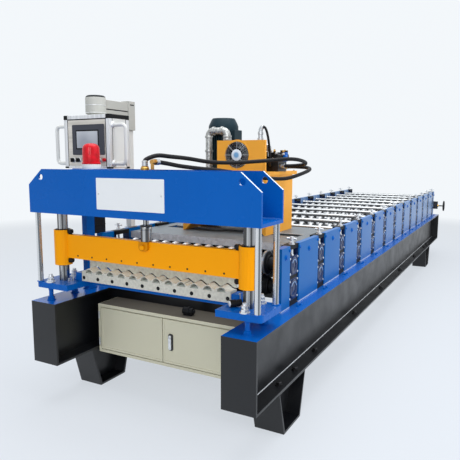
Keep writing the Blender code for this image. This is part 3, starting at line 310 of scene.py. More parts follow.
# The bearing rims' pale blue is a painted highlight on the navy housings.
rim_highlight_blue = enamel("rim_highlight_blue", srgb(134, 168, 214), 0.22, gleam=0.6)
navy_enamel = enamel("navy_enamel", NAVY, 0.24, gleam=0.5)
black_plastic_and_hole_shade = enamel("black_plastic_and_hole_shade", srgb(26, 27, 29), 0.42, 0.10, 0.0003)
white_plastic = enamel("white_plastic", srgb(230, 233, 235), 0.38, 0.03, 0.0003)
red_plastic = enamel("red_plastic", SIGNAL_RED, 0.30, 0.05, 0.0002)
# The lid's dark colour is painted shade over the beige cabinet top.
lid_shade_paint = enamel("lid_shade_paint", srgb(88, 84, 76), 0.5, 0.30)
duct_paint = enamel("duct_paint", srgb(30, 33, 38), 0.5, 0.12)
print("enamels made:", len(bpy.data.materials))


# %% [markdown]
# Bare steel shows how it was cut. A turned roll has fine rings round its axis, a drawn bar has
# lines along it, and a ground plate has short scratches. The same shader serves them all: only
# the way that the noise is stretched changes, and some finishes get stripes of painted reflection.

# %% Bare metal
GRAIN = (1.0, 1.0, 1.0)


def bare_metal(name, colour, roughness, stretch, scale=60.0, reflection_stripes=None, metallic=1.0):
    """Bright metal with tool marks drawn out along the stretch, and stripes of painted reflection of dark
    surroundings.
    """
    finish, shader = new_finish(name, colour, roughness, metallic)
    marks = cloud(finish, scale, 4.0, stretch)
    tone = between(finish, spread(finish, marks, 0.0, 1.0, 0.3, 0.7), darker(colour, 0.25), colour)
    if reflection_stripes:
        tone = between(finish, glints(finish, *reflection_stripes), darker(colour, 0.86), tone)
    join(finish, tone, shader.inputs["Base Color"])
    join(finish, spread(finish, marks, roughness - 0.07, roughness + 0.10, 0.3, 0.7),
         shader.inputs["Roughness"])
    bumps(finish, shader, marks, 0.0002)
    return finish


# The drawn and cross-turned steels carry stripes of painted reflection.
drawn_steel = bare_metal("drawn_steel", srgb(202, 204, 206), 0.24, (1.0, 1.0, 0.04),
                         reflection_stripes=((5.5, 2.2, 0.0), 2.4))
cross_steel = bare_metal("cross_steel", srgb(204, 207, 209), 0.30, (0.04, 1.0, 1.0),
                         reflection_stripes=((0.0, 0.0, 1.8), 0.6))
brass = bare_metal("brass", srgb(214, 168, 88), 0.28, GRAIN, 80.0)
bolt_zinc = bare_metal("bolt_zinc", srgb(206, 209, 212), 0.34, GRAIN, 120.0)
white_zinc = bare_metal("white_zinc", srgb(238, 241, 244), 0.40, GRAIN, 120.0)
corner_highlight_steel = bare_metal("corner_highlight_steel", srgb(206, 210, 216), 0.40, (1.0, 0.4, 1.0), metallic=0.3)
dark_steel = bare_metal("dark_steel", srgb(72, 72, 74), 0.42, GRAIN, 90.0)
print("metals made:", len(bpy.data.materials))


# %% [markdown]
# Hot-dip zinc freezes into large flat crystals, the spangle that marks the deck plate and the
# return pipe. Voronoi cells with a random shade each are that pattern, and a little noise on the
# roughness lets neighbouring crystals catch the light differently.

# %% Galvanised zinc
def galvanised(name, colour, roughness, cell, metallic=0.85, near_face_light=None):
    """Zinc with crystal cells about cell metres across, and a colour painted on the near face as light."""
    finish, shader = new_finish(name, colour, roughness, metallic)
    crystals = finish.node_tree.nodes.new("ShaderNodeTexVoronoi")
    crystals.inputs["Scale"].default_value = 1.0 / cell
    join(finish, place_socket(finish), crystals.inputs["Vector"])
    split = finish.node_tree.nodes.new("ShaderNodeSeparateColor")
    join(finish, crystals.outputs["Color"], split.inputs["Color"])
    shade = split.outputs["Red"]
    tone = between(finish, shade, darker(colour, 0.42), colour)
    if near_face_light:
        near = sums(finish, "SUBTRACT", 1.0, facing(finish, "Y", -0.9))
        tone = between(finish, near, tone, between(finish, shade, darker(near_face_light, 0.25), near_face_light))
    join(finish, tone, shader.inputs["Base Color"])
    join(finish, spread(finish, shade, roughness - 0.08, roughness + 0.12, 0.0, 1.0),
         shader.inputs["Roughness"])
    bumps(finish, shader, cloud(finish, 160.0), 0.0003)
    return finish


# The deck's near face is painted a much paler zinc than its top, as light.
zinc_deck = galvanised("zinc_deck", srgb(122, 132, 140), 0.44, 0.018, 0.15, srgb(246, 250, 252))
zinc_pipe = galvanised("zinc_pipe", srgb(196, 198, 196), 0.36, 0.010)
print("zinc made")


# %% [markdown]
# Some CAD nodes carry more than one finish: a side frame is blue plate with navy bearing blocks on
# black spacers, its blue painted paler towards the far end as light, the beams are black with a
# blue upper flange, and the shear head's posts are left bright with stripes of painted reflection,
# its cut edges pale with a painted highlight. Masks by height, width or the way that a face looks
# choose between the finishes, so the node's own mesh stays untouched.

# %% Finishes with several zones
def zoned(name, base, roughness, zones, gleam=0.12):
    """Enamel whose zones, each a mask maker with a colour, metal share and roughness, lie over it."""
    finish = enamel(name, base, roughness, gleam=gleam)
    shader = finish.node_tree.nodes["Principled BSDF"]
    tone = shader.inputs["Base Color"].links[0].from_socket
    gloss = shader.inputs["Roughness"].links[0].from_socket
    metal = 0.0
    for mask_of, colour, metal_share, zone_roughness in zones:
        mask = mask_of(finish)
        keep = sums(finish, "SUBTRACT", 1.0, mask)
        tone = between(finish, mask, tone, colour(finish) if callable(colour) else colour)
        rough = sums(finish, "MULTIPLY", mask, zone_roughness)
        gloss = sums(finish, "MULTIPLY_ADD", gloss, keep, rough)
        metal = sums(finish, "MULTIPLY_ADD", keep, metal, sums(finish, "MULTIPLY", mask, metal_share))
    join(finish, tone, shader.inputs["Base Color"])
    join(finish, gloss, shader.inputs["Roughness"])
    join(finish, metal, shader.inputs["Metallic"])
    return finish


side_high = own_box("side_frame_right")[1]
STATIONS = 13
roll_centres = []
for number in range(1, STATIONS + 1):
    low, high = box_of(f"upper_roll_{number:02d}")
    roll_centres.append(own((low + high) / 2))
lower_low, lower_high = box_of("lower_roll_01")
UPPER_Z = roll_centres[0].z
LOWER_Z = (lower_low.z + lower_high.z) / 2
PITCH = roll_centres[1].y - roll_centres[0].y
FIRST = roll_centres[0].y
WINDOW = 0.132
SIDE_OUTER = side_high.x
CHOCK_OUTER = SIDE_OUTER - 0.007
BEAM_TOP = bed_high.z
SIDE_TOP = side_high.z
SPACER_TOP = BEAM_TOP + 0.030
LOWER_BLOCK_TOP = BEAM_TOP + 0.146
UPPER_BLOCK_FOOT = BEAM_TOP + 0.164
CAP_FOOT = SIDE_TOP - 0.024
BAY_START = at(0.0, FIRST - PITCH / 2, 0.0).y
SPACER_BLACK = srgb(24, 25, 28)


def within_bay(finish, along):
    """The place within one station's pitch, whose middle is the roll's axis."""
    return sums(finish, "MODULO", sums(finish, "SUBTRACT", along, BAY_START), PITCH)


def in_windows(finish):
    """1 within the window of any station, where the bearing blocks sit."""
    place = axes(finish)
    near = sums(finish, "COMPARE", within_bay(finish, place["Y"]), PITCH / 2, WINDOW / 2 - 0.0005)
    across = sums(finish, "ABSOLUTE", sums(finish, "SUBTRACT", place["X"], ORIGIN.x), 0.0)
    inside = sums(finish, "LESS_THAN", across, CHOCK_OUTER + 0.0005)
    last = sums(finish, "LESS_THAN", place["Y"], at(0.0, FIRST + (STATIONS - 0.5) * PITCH, 0.0).y)
    first = sums(finish, "GREATER_THAN", place["Y"], BAY_START)
    for other in (inside, first, last):
        near = sums(finish, "MULTIPLY", near, other)
    return near


def window_band(low, high):
    """A mask maker for the windows' part between two heights."""
    return lambda finish: sums(finish, "MULTIPLY", in_windows(finish), band(finish, "Z", low, high))


def paler_far_end_light(finish):
    """The side plates' blue, painted a little paler towards the open far end as light."""
    share = spread(finish, axes(finish)["Y"], 0.0, 0.50, at(0.0, 1.2, 0.0).y, at(0.0, 6.0, 0.0).y)
    return between(finish, share, SIDE_BLUE, srgb(190, 212, 234))


side_enamel = zoned("side_enamel", SIDE_BLUE, 0.30, [
    # Plates' blue: painted paler towards the far end, as light.
    (lambda finish: band(finish, "Z", BEAM_TOP, SIDE_TOP + 0.001), paler_far_end_light, 0.0, 0.30),
    (lambda finish: band(finish, "Z", BEAM_TOP, BEAM_TOP + 0.007), srgb(226, 234, 244), 0.6, 0.4),
    (in_windows, NAVY, 0.0, 0.35),
    (window_band(BEAM_TOP, SPACER_TOP), SPACER_BLACK, 0.0, 0.5),
    (window_band(LOWER_BLOCK_TOP, UPPER_BLOCK_FOOT), SPACER_BLACK, 0.0, 0.5),
    (window_band(CAP_FOOT, SIDE_TOP + 0.001), SPACER_BLACK, 0.0, 0.5),
])
head_low, head_high = own_box("shear_head")
head_floor = head_high.z - 0.2335


def flange_top(finish):
    """1 on the upper side of the beams' upper flange."""
    level = band(finish, "Z", BEAM_TOP - 0.001, BEAM_TOP + 0.001)
    return sums(finish, "MULTIPLY", facing(finish, "Z", 0.9), level)


def post_painted_reflections(finish):
    """Painted reflections: bright and grey stripes down a round post."""
    return between(finish, glints(finish, (3.45, 1.87, 0.0), 3.53), srgb(112, 117, 122), srgb(226, 228, 230))


def cut_edge(finish):
    """1 on the slanting cut edges at the upper corners of a plate, where a highlight is painted."""
    return sums(finish, "MULTIPLY", facing(finish, "X", 0.3), facing(finish, "Z", 0.3))


bed_enamel = zoned("bed_enamel", BLACK, 0.34, [(flange_top, BLUE, 0.0, 0.26)], gleam=0.5)
head_enamel = zoned("head_enamel", BLUE, 0.24, [
    # Posts: stripes of painted reflection.
    (lambda finish: band(finish, "Z", 0.0, head_floor - 0.0005), post_painted_reflections, 0.9, 0.26),
    # Cut edges: pale blue-white as a painted highlight.
    (cut_edge, srgb(226, 238, 250), 0.0, 0.30),
])
cylinder_enamel = zoned("cylinder_enamel", BLUE, 0.30, [
    (lambda finish: band(finish, "Z", head_high.z + 0.0015, 2.0), srgb(196, 150, 84), 0.9, 0.32),
])
cooler_low, cooler_high = box_of("oil_cooler")
cooler_enamel = zoned("cooler_enamel", ORANGE, 0.38, [
    (lambda finish: band(finish, "Y", cooler_low.y + 0.0205, cooler_high.y + 0.001),
     srgb(34, 36, 40), 0.2, 0.5),
])
orange_enamel = enamel("orange_enamel", ORANGE, 0.40, 0.08)
print("zoned finishes made")


# %% [markdown]
# The rolls are hard chrome, bright on the crests and painted dark down in the grooves as shade,
# with painted reflection stripes round them. The distance from the roll's own axis tells crest
# from groove: the place along the bed is taken modulo the pitch, so one finish serves all
# thirteen rolls of a row.

# %% Chrome rolls
def roll_finish(name, axis_height, bright, dark):
    """Chrome with painted shade from crest to groove, and painted reflection stripes round the roll."""
    finish, shader = new_finish(name, bright, 0.20, 0.6)
    shader.inputs["Specular IOR Level"].default_value = 0.2
    place = axes(finish)
    along = sums(finish, "SUBTRACT", within_bay(finish, place["Y"]), PITCH / 2)
    above = sums(finish, "SUBTRACT", place["Z"], axis_height)
    square = sums(finish, "MULTIPLY_ADD", along, along, sums(finish, "MULTIPLY", above, above))
    crest = spread(finish, sums(finish, "SQRT", square, 0.0), 0.03, 1.0, 0.0610, 0.0672)
    reflection_stripes = spread(finish, glints(finish, (1.2, 3.4, 5.0), -2.4), 0.4, 1.0, 0.0, 1.0)
    both = sums(finish, "MULTIPLY", crest, reflection_stripes)
    join(finish, between(finish, both, dark, bright), shader.inputs["Base Color"])
    rings = cloud(finish, 60.0, 4.0, (9.0, 0.25, 0.25))
    polish = spread(finish, rings, 0.14, 0.30, 0.3, 0.7)
    dull = spread(finish, crest, 0.45, 0.0, 0.0, 1.0)
    join(finish, sums(finish, "ADD", polish, dull), shader.inputs["Roughness"])
    join(finish, spread(finish, crest, 0.0, 0.6, 0.0, 1.0), shader.inputs["Metallic"])
    bumps(finish, shader, rings, 0.0001)
    return finish


roll_steel = roll_finish("roll_steel", UPPER_Z, srgb(222, 225, 228), srgb(14, 15, 18))
# The lower row is the same chrome painted darker, as shade.
roll_steel_low_shaded = roll_finish("roll_steel_low_shaded", LOWER_Z, srgb(150, 153, 158), srgb(8, 9, 11))
print("roll finishes made")


# %% [markdown]
# Rubber hydraulic hose is matt black over a steel braid that shows through as a faint weave. The
# lens and the screen are simple shells: what sells them is a low roughness, and a coat on the
# screen. The die and the blade are pale ground steel, with painted light making the faces that
# look up brighter.

# %% Rubber, lens, screen and die steel
def braided_rubber(name):
    """Black rubber with a fine slanting weave."""
    finish, shader = new_finish(name, srgb(20, 20, 22), 0.45)
    shader.inputs["Specular IOR Level"].default_value = 0.2
    weave = finish.node_tree.nodes.new("ShaderNodeTexWave")
    weave.wave_type = "BANDS"
    weave.bands_direction = "DIAGONAL"
    weave.inputs["Scale"].default_value = 180.0
    weave.inputs["Distortion"].default_value = 1.5
    join(finish, place_socket(finish), weave.inputs["Vector"])
    tone = between(finish, weave.outputs["Fac"], srgb(14, 14, 16), srgb(30, 30, 33))
    join(finish, tone, shader.inputs["Base Color"])
    bumps(finish, shader, weave.outputs["Fac"], 0.0005)
    return finish


def clear_red(name):
    """Ribbed red lens: saturated and glossy, with a little cloud in its red."""
    finish, shader = new_finish(name, SIGNAL_RED, 0.26)
    shader.inputs["Specular IOR Level"].default_value = 0.25
    glow = between(finish, spread(finish, cloud(finish, 30.0), 0.0, 1.0), srgb(184, 6, 22), srgb(222, 18, 38))
    join(finish, glow, shader.inputs["Base Color"])
    return finish


def screen_glass(name):
    """The touch screen: pale grey with a soft gradient behind gloss."""
    finish, shader = new_finish(name, srgb(176, 182, 190), 0.12)
    fade = cloud(finish, 5.0, 1.0)
    tone = between(finish, spread(finish, fade, 0.0, 1.0), srgb(150, 156, 166), srgb(206, 211, 216))
    join(finish, tone, shader.inputs["Base Color"])
    shader.inputs["Coat Weight"].default_value = 0.8
    shader.inputs["Coat Roughness"].default_value = 0.05
    return finish


hose_rubber = braided_rubber("hose_rubber")
lens_red = clear_red("lens_red")
screen_grey = screen_glass("screen_grey")


def ground_cream(name, colour):
    """Pale ground steel, with painted light on the faces that look up."""
    finish, shader = new_finish(name, colour, 0.50, 0.05)
    marks = cloud(finish, 70.0, 4.0, (1.0, 0.08, 1.0))
    tone = between(finish, spread(finish, marks, 0.0, 1.0, 0.3, 0.7), darker(colour, 0.22), colour)
    painted_top_light = between(finish, facing(finish, "Z", 0.25), tone, srgb(236, 244, 240))
    join(finish, painted_top_light, shader.inputs["Base Color"])
    bumps(finish, shader, marks, 0.0002)
    return finish


die_steel = ground_cream("die_steel", srgb(208, 207, 196))
blade_steel = ground_cream("blade_steel", srgb(236, 246, 238))
print("materials in all:", len(bpy.data.materials))


# %% [markdown]
# Every CAD node gets its finish here. Nodes that a finer piece replaces further down get one as
# well, so that nothing plain can ever show.

# %% Finishes on the CAD nodes
NODE_FINISH = {
    "bed_frame": bed_enamel,
    "side_frame_left": side_enamel,
    "side_frame_right": side_enamel,
    "shear_head": head_enamel,
    "shear_table": blue_enamel,
    "shear_cylinder": cylinder_enamel,
    "cable_post": blue_enamel,
    "cable_duct": duct_paint,
    "guide_column_left": drawn_steel,
    "guide_column_right": drawn_steel,
    "cylinder_rod": drawn_steel,
    "blade_beam": yellow_enamel,
    "shear_die": die_steel,
    "cutting_blade": blade_steel,
    "beacon": lens_red,
    "electric_cabinet": beige_powder,
    "cabinet_door_left": beige_powder,
    "cabinet_door_right": beige_powder,
    "panel_column": pale_powder,
    "panel_arm": pale_powder,
    "operator_panel": pale_powder,
    "deck_plate": zinc_deck,
    "oil_tank": orange_enamel,
    "oil_cooler": cooler_enamel,
    "cooler_fan": motor_paint,
    "pump_motor": motor_paint,
    "valve_block": dark_steel,
    "return_pipe": zinc_pipe,
    "upper_hose": hose_rubber,
    "lower_hose": hose_rubber,
    "entry_guide": cross_steel,
    "guide_bracket": dark_steel,
    "guide_handwheel": black_plastic_and_hole_shade,
}
for number in range(1, STATIONS + 1):
    NODE_FINISH[f"upper_roll_{number:02d}"] = roll_steel
    NODE_FINISH[f"lower_roll_{number:02d}"] = roll_steel_low_shaded
for node, finish in NODE_FINISH.items():
    nodes[node].data.materials.clear()
    nodes[node].data.materials.append(finish)
print("nodes finished:", len(NODE_FINISH), "of", len(nodes))


# %% [markdown]
# Small hardware is made from a handful of shapes: a block, a bar between two points, a turned
# profile, a tube along a route. Each is added to a growing mesh, so a row of bolts is one loop and
# one piece. A narrow bevel at the end gives every edge the highlight that real edges have.

# %% Shapes for hardware
UP = (0, 0, 1)
FRONT = (0, -1, 0)
RIGHT = (1, 0, 0)


def circle(radius, sides, steps=None):
    """Points round a circle, as pairs."""
    turns = [2 * math.pi * step / sides for step in range(steps or sides)]
    return [(radius * math.cos(turn), radius * math.sin(turn)) for turn in turns]


def block(build, low, high):
    """A box between two corners in the machine's own terms."""
    low, high = at(*low), at(*high)
    made = bmesh.ops.create_cube(build, size=1.0)["verts"]
    bmesh.ops.scale(build, vec=high - low, verts=made)
    bmesh.ops.translate(build, vec=(low + high) / 2, verts=made)


def turned(build, profile, start, direction, sides=24, ends=True):
    """Turn (radius, along) points about a line from start, closed at both ends unless told not to."""
    axis = Vector(direction).normalized()
    spin = axis.to_track_quat("Z", "Y").to_matrix()
    base = at(*start)
    rings = []
    for radius, along in profile:
        if radius <= 0.0:
            rings.append([build.verts.new(base + axis * along)])
            continue
        ring = [Vector((x, y, along)) for x, y in circle(radius, sides)]
        rings.append([build.verts.new(base + spin @ point) for point in ring])
    for first, second in zip(rings, rings[1:]):
        for step in range(sides):
            after = (step + 1) % sides
            corners = [first[step % len(first)], first[after % len(first)],
                       second[after % len(second)], second[step % len(second)]]
            unique = list(dict.fromkeys(corners))
            if len(unique) > 2:
                build.faces.new(unique)
    for ring, flip in ((rings[0], True), (rings[-1], False)):
        if ends and len(ring) > 2:
            build.faces.new(ring[::-1] if flip else ring)
    return rings


def solid(build, profile, start, direction, sides=24):
    """A turned solid whose two ends are flat discs as wide as the profile's ends."""
    foot, top = profile[0][1], profile[-1][1]
    turned(build, [(0.0, foot), *profile, (0.0, top)], start, direction, sides)


def bar(build, start, end, radius, sides=16):
    """A round or many-sided bar between two places."""
    run = Vector(end) - Vector(start)
    turned(build, [(radius, 0.0), (radius, run.length)], start, run, sides)


def bolt(build, place, direction, across, height=None, washer=True):
    """A hexagon head on a washer, standing on a surface."""
    height = across * 0.42 if height is None else height
    step = Vector(direction).normalized()
    base = Vector(place)
    if washer:
        bar(build, base, base + step * across * 0.12, across * 0.72, 16)
    top = [(across * 0.56, 0.0), (across * 0.56, height * 0.86), (across * 0.46, height)]
    turned(build, top, base + step * across * 0.10, step, 6)


def tube(build, route, radius, sides=12):
    """A tube along a route in the machine's own terms."""
    points = [at(*point) for point in route]
    rings = []
    lean = None
    for index, point in enumerate(points):
        run = (points[min(index + 1, len(points) - 1)] - points[max(index - 1, 0)]).normalized()
        if lean is None:
            lean = run.orthogonal().normalized()
        lean = (lean - run * lean.dot(run)).normalized()
        side = run.cross(lean)
        rings.append([
            build.verts.new(point + radius * (
                lean * math.cos(2 * math.pi * step / sides) + side * math.sin(2 * math.pi * step / sides)))
            for step in range(sides)
        ])
    for first, second in zip(rings, rings[1:]):
        for step in range(sides):
            after = (step + 1) % sides
            build.faces.new((first[step], first[after], second[after], second[step]))
    build.faces.new(rings[0][::-1])
    build.faces.new(rings[-1])


def sheet_metal(build, outline, low, high, plane="XZ"):
    """An outline made solid between two places across its plane."""
    order = {"XZ": (0, 2, 1), "XY": (0, 1, 2), "YZ": (1, 2, 0)}[plane]
    faces = []
    for level in (low, high):
        ring = []
        for first, second in outline:
            point = [0.0, 0.0, 0.0]
            point[order[0]], point[order[1]], point[order[2]] = first, second, level
            ring.append(build.verts.new(at(*point)))
        faces.append(ring)
    near, far = faces
    for index in range(len(near)):
        after = (index + 1) % len(near)
        build.faces.new((near[index], near[after], far[after], far[index]))
    build.faces.new(near[::-1])
    build.faces.new(far)


def arc(centre, radius, first, last, steps=6):
    """Points on an arc, with angles in degrees."""
    return [
        (centre[0] + radius * math.cos(math.radians(first + (last - first) * step / steps)),
         centre[1] + radius * math.sin(math.radians(first + (last - first) * step / steps)))
        for step in range(steps + 1)
    ]


def rounded(left, low, right, high, radius):
    """A rectangle with round corners."""
    outline = []
    for number, (x, y) in enumerate(((right, high), (left, high), (left, low), (right, low))):
        centre = (x - radius if x == right else x + radius, y - radius if y == high else y + radius)
        outline += arc(centre, radius, 90 * number, 90 * number + 90, 4)
    return outline


def piece(name, build, finish, bevel=0.0, body="frame", crease=35):
    """Make an object from a mesh under construction, finish it and let it ride on a body."""
    bmesh.ops.recalc_face_normals(build, faces=build.faces)
    mesh = bpy.data.meshes.new(name)
    build.to_mesh(mesh)
    build.free()
    mesh.shade_smooth()
    mesh.set_sharp_from_angle(angle=math.radians(crease))
    made = bpy.data.objects.new(name, mesh)
    made.data.materials.append(finish)
    bpy.context.scene.collection.objects.link(made)
    if bevel:
        edge = made.modifiers.new("edge", "BEVEL")
        edge.width = bevel
        edge.segments = 2
        edge.limit_method = "ANGLE"
        edge.angle_limit = math.radians(35)
        edge.harden_normals = True
    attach(made, body)
    return made


print("shapes ready")


# %% [markdown]
# Two hydraulic hoses run from the cylinder over the shear head to the valves. Each sags under its
# own weight and goes back into the machine at its far end. The points are the CAD route's own,
# joined by a smooth curve, and each end sits in a crimped fitting.

# %% Hydraulic hoses
HOSE_RADIUS = 0.011
UPPER_ROUTE = [
    (0.000, 0.142, 1.3273), (0.000, 0.142, 1.341), (0.003, 0.151, 1.361), (0.034, 0.200, 1.380),
    (0.060, 0.280, 1.375), (0.085, 0.400, 1.366), (0.137, 0.550, 1.347), (0.215, 0.680, 1.344),
    (0.341, 0.800, 1.354), (0.435, 0.880, 1.364), (0.484, 0.950, 1.362), (0.497, 1.050, 1.346),
    (0.465, 1.118, 1.332), (0.400, 1.138, 1.325), (0.335, 1.140, 1.322), (0.3003, 1.140, 1.322),
]
LOWER_ROUTE = [
    (0.046, 0.1653, 1.348), (0.046, 0.185, 1.348), (0.060, 0.250, 1.340), (0.075, 0.340, 1.327),
    (0.128, 0.450, 1.313), (0.185, 0.560, 1.302), (0.267, 0.680, 1.281), (0.336, 0.760, 1.260),
    (0.398, 0.840, 1.252), (0.445, 0.920, 1.255), (0.487, 1.020, 1.278), (0.500, 1.120, 1.300),
    (0.462, 1.180, 1.312), (0.380, 1.194, 1.316), (0.335, 1.195, 1.316), (0.3003, 1.195, 1.316),
]


def curve_points(points, steps=6):
    """A smooth line through points, as a Catmull-Rom chain."""
    line = []
    places = [Vector(point) for point in points]
    for index in range(len(places) - 1):
        before = places[max(index - 1, 0)]
        first, second = places[index], places[index + 1]
        after = places[min(index + 2, len(places) - 1)]
        for step in range(steps):
            share = step / steps
            line.append(0.5 * (
                2 * first + (second - before) * share
                + (2 * before - 5 * first + 4 * second - after) * share ** 2
                + (3 * first - before - 3 * second + after) * share ** 3))
    line.append(places[-1])
    return line


def make_hose(name, route, node):
    """One hose as a smooth tube."""
    line = curve_points(route)
    build = bmesh.new()
    tube(build, line, HOSE_RADIUS, 16)
    hose = piece(name, build, hose_rubber)
    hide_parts(node)


make_hose("hose_over_head", UPPER_ROUTE, "upper_hose")
make_hose("hose_behind_head", LOWER_ROUTE, "lower_hose")


# %% [markdown]
# The rolls do the work, so they get true form: the corrugation's smooth wave turned round the
# shaft, crest over valley on each pair. One profile, with eight steps of a cosine to a wave, makes
# both rolls, and a loop turns it at each of the thirteen stations.

# %% Wave rolls
WAVE_PITCH = 0.0762
WAVES = 12
WAVE_HEIGHT = 0.018
ROLL_RADIUS = 0.061
SHAFT_RADIUS = 0.032
SHAFT_END = own(box_of("upper_roll_01")[1]).x
STEPS_PER_WAVE = 8
ROLL_SIDES = 40


def roll_profile(crest):
    """Radius along the shaft, from end to end."""
    half = WAVES * WAVE_PITCH / 2
    profile = [(0.0, -SHAFT_END), (SHAFT_RADIUS - 0.002, -SHAFT_END), (SHAFT_RADIUS, -SHAFT_END + 0.002)]
    profile += [(SHAFT_RADIUS, -half - 0.014), (0.044, -half - 0.014), (0.044, -half - 0.006)]
    for step in range(WAVES * STEPS_PER_WAVE + 1):
        place = -half + step * WAVE_PITCH / STEPS_PER_WAVE
        swing = crest * math.cos(2 * math.pi * (place + half) / WAVE_PITCH)
        profile.append((ROLL_RADIUS + swing * WAVE_HEIGHT / 2, place))
    profile += [(0.044, half + 0.006), (0.044, half + 0.014), (SHAFT_RADIUS, half + 0.014)]
    profile += [(SHAFT_RADIUS, SHAFT_END - 0.002), (SHAFT_RADIUS - 0.002, SHAFT_END), (0.0, SHAFT_END)]
    return profile


def make_rolls(word, crest, height, finish):
    """One turned roll for each station, all alike apart from their place."""
    for number in range(1, STATIONS + 1):
        build = bmesh.new()
        centre = (0.0, roll_centres[number - 1].y, height)
        turned(build, roll_profile(crest), centre, RIGHT, ROLL_SIDES)
        node = f"{word}_roll_{number:02d}"
        made = piece(f"{word}_wave_roll_{number:02d}", build, finish, body=node, crease=50)
        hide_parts(node)


make_rolls("upper", 1, UPPER_Z, roll_steel)
make_rolls("lower", -1, LOWER_Z, roll_steel_low_shaded)
print("rolls turned:", 2 * STATIONS)


# %% [markdown]
# Each window of a side frame holds two bearing blocks. On the real machine a round cover with an
# arched rim closes each bearing, four small bolts hold it, and a screw with a cross handle above
# sets the upper block's height. All of them repeat at every station, on both sides.

# %% Bearing covers, adjusting screws and side bolts
UPPER_BLOCK = (UPPER_BLOCK_FOOT, SIDE_TOP - 0.060)
LOWER_BLOCK = (SPACER_TOP, LOWER_BLOCK_TOP)


def make_bearing_covers(side, word):
    """Raised round bearing housings on every block of one side."""
    build = bmesh.new()
    for centre in roll_centres:
        for low, high in (UPPER_BLOCK, LOWER_BLOCK):
            half = (high - low) / 2 - 0.006
            start = (side * CHOCK_OUTER, centre.y, (low + high) / 2)
            profile = [
                (0.0, -0.001), (half, -0.001), (half, 0.003), (half - 0.004, 0.0055), (half - 0.012, 0.0055),
                (half - 0.016, 0.002), (half - 0.030, 0.002), (half - 0.034, 0.0045), (0.0, 0.0045),
            ]
            turned(build, profile, start, (side, 0, 0), 28)
    piece(f"bearing_covers_{word}", build, navy_enamel)


def make_arched_rims(side, word):
    """The raised lip over the top of every bearing, pale blue as a painted highlight."""
    build = bmesh.new()
    for centre in roll_centres:
        for low, high in (UPPER_BLOCK, LOWER_BLOCK):
            place = (centre.y, (low + high) / 2)
            ring = arc(place, (high - low) / 2 - 0.0205, 20, 150, 12)
            tube(build, [(side * (CHOCK_OUTER + 0.0045), y, z) for y, z in ring], 0.0024, 6)
    piece(f"arched_rims_{word}", build, rim_highlight_blue)


SOCKET_HEAD = [
    (0.0062, -0.001), (0.0062, 0.0035), (0.0052, 0.0048), (0.0028, 0.0048), (0.0028, 0.003), (0.0, 0.003),
]
ROUND_HEAD = [
    (0.0, -0.001), (0.016, -0.001), (0.016, 0.002), (0.014, 0.0035), (0.0095, 0.0035), (0.0095, 0.006),
    (0.007, 0.0085), (0.0, 0.0085),
]


def make_cover_bolts(side, word):
    """Four small socket bolts round each bearing cover."""
    build = bmesh.new()
    for centre in roll_centres:
        for low, high in (UPPER_BLOCK, LOWER_BLOCK):
            for along in (-0.052, 0.052):
                for height in (low + 0.011, high - 0.011):
                    place = (side * CHOCK_OUTER, centre.y + along, height)
                    turned(build, SOCKET_HEAD, place, (side, 0, 0), 10)
    piece(f"cover_bolts_{word}", build, white_zinc)


def make_adjusting_screws(side, word):
    """A threaded screw with lock nut and cross handle over every upper block."""
    build = bmesh.new()
    across = side * (CHOCK_OUTER - 0.012)
    foot = UPPER_BLOCK[1] + 0.0005
    for centre in roll_centres:
        thread = [(0.0, foot), (0.0085, foot)]
        steps = 20
        top = SIDE_TOP + 0.034
        for step in range(steps):
            level = foot + (top - foot) * (step + 0.5) / steps
            thread.append((0.0085 if step % 2 else 0.0074, level))
        thread += [(0.0085, top), (0.0, top)]
        turned(build, [(radius, level - foot) for radius, level in thread], (across, centre.y, foot), UP, 12)
        bolt(build, (across, centre.y, SIDE_TOP), UP, 0.024, 0.012)
        turned(build, [(0.012, 0.0), (0.012, 0.006), (0.009, 0.008)], (across, centre.y, foot), UP, 6)
        bar(build, (across - 0.027, centre.y, top - 0.004),
            (across + 0.027, centre.y, top - 0.004), 0.0055, 10)
        solid(build, [(0.0095, -0.012), (0.0105, -0.004), (0.0095, 0.006)],
              (across, centre.y, top + 0.002), UP, 12)
    piece(f"adjusting_screws_{word}", build, white_zinc)


def make_plate_bolts(side, word):
    """One round-headed bolt near the top of each plate, and corner bolts on every block cap."""
    build = bmesh.new()
    places = [roll_centres[0].y + (index - 0.5) * PITCH for index in range(STATIONS + 1)]
    places[0] = roll_centres[0].y - WINDOW / 2 - 0.055
    places[-1] = roll_centres[-1].y + WINDOW / 2 + 0.034
    for along in places:
        turned(build, ROUND_HEAD, (side * SIDE_OUTER, along, SIDE_TOP - 0.052), (side, 0, 0), 16)
    for centre in roll_centres:
        for along in (-0.074, 0.074):
            turned(build, [(0.008, -0.001), (0.008, 0.004), (0.006, 0.006), (0.0, 0.006)],
                   (side * SIDE_OUTER, centre.y + along, SIDE_TOP - 0.022), (side, 0, 0), 10)
    piece(f"plate_bolts_{word}", build, blue_enamel)


for side, word in ((-1, "left"), (1, "right")):
    make_bearing_covers(side, word)
    make_arched_rims(side, word)
    make_cover_bolts(side, word)
    make_adjusting_screws(side, word)
    make_plate_bolts(side, word)
print("station hardware for", STATIONS, "stations on two sides")


# %% [markdown]
# Bright round tie rods hold the two side frames apart between the stations, with a collar at each
# plate. Pairs of small bolt heads stand on the beams' upper flange, larger bolts on the lower
# flange hold the beam to its legs and stays, and a pale bead where web meets flange is a painted
# highlight.

# %% Tie rods and flange bolts
FLANGE_LEVEL = 0.2572
FLANGE_BOLTS = (0.337, 0.552, 0.868, 1.724, 2.580, 3.436, 4.292, 5.032, 5.248)


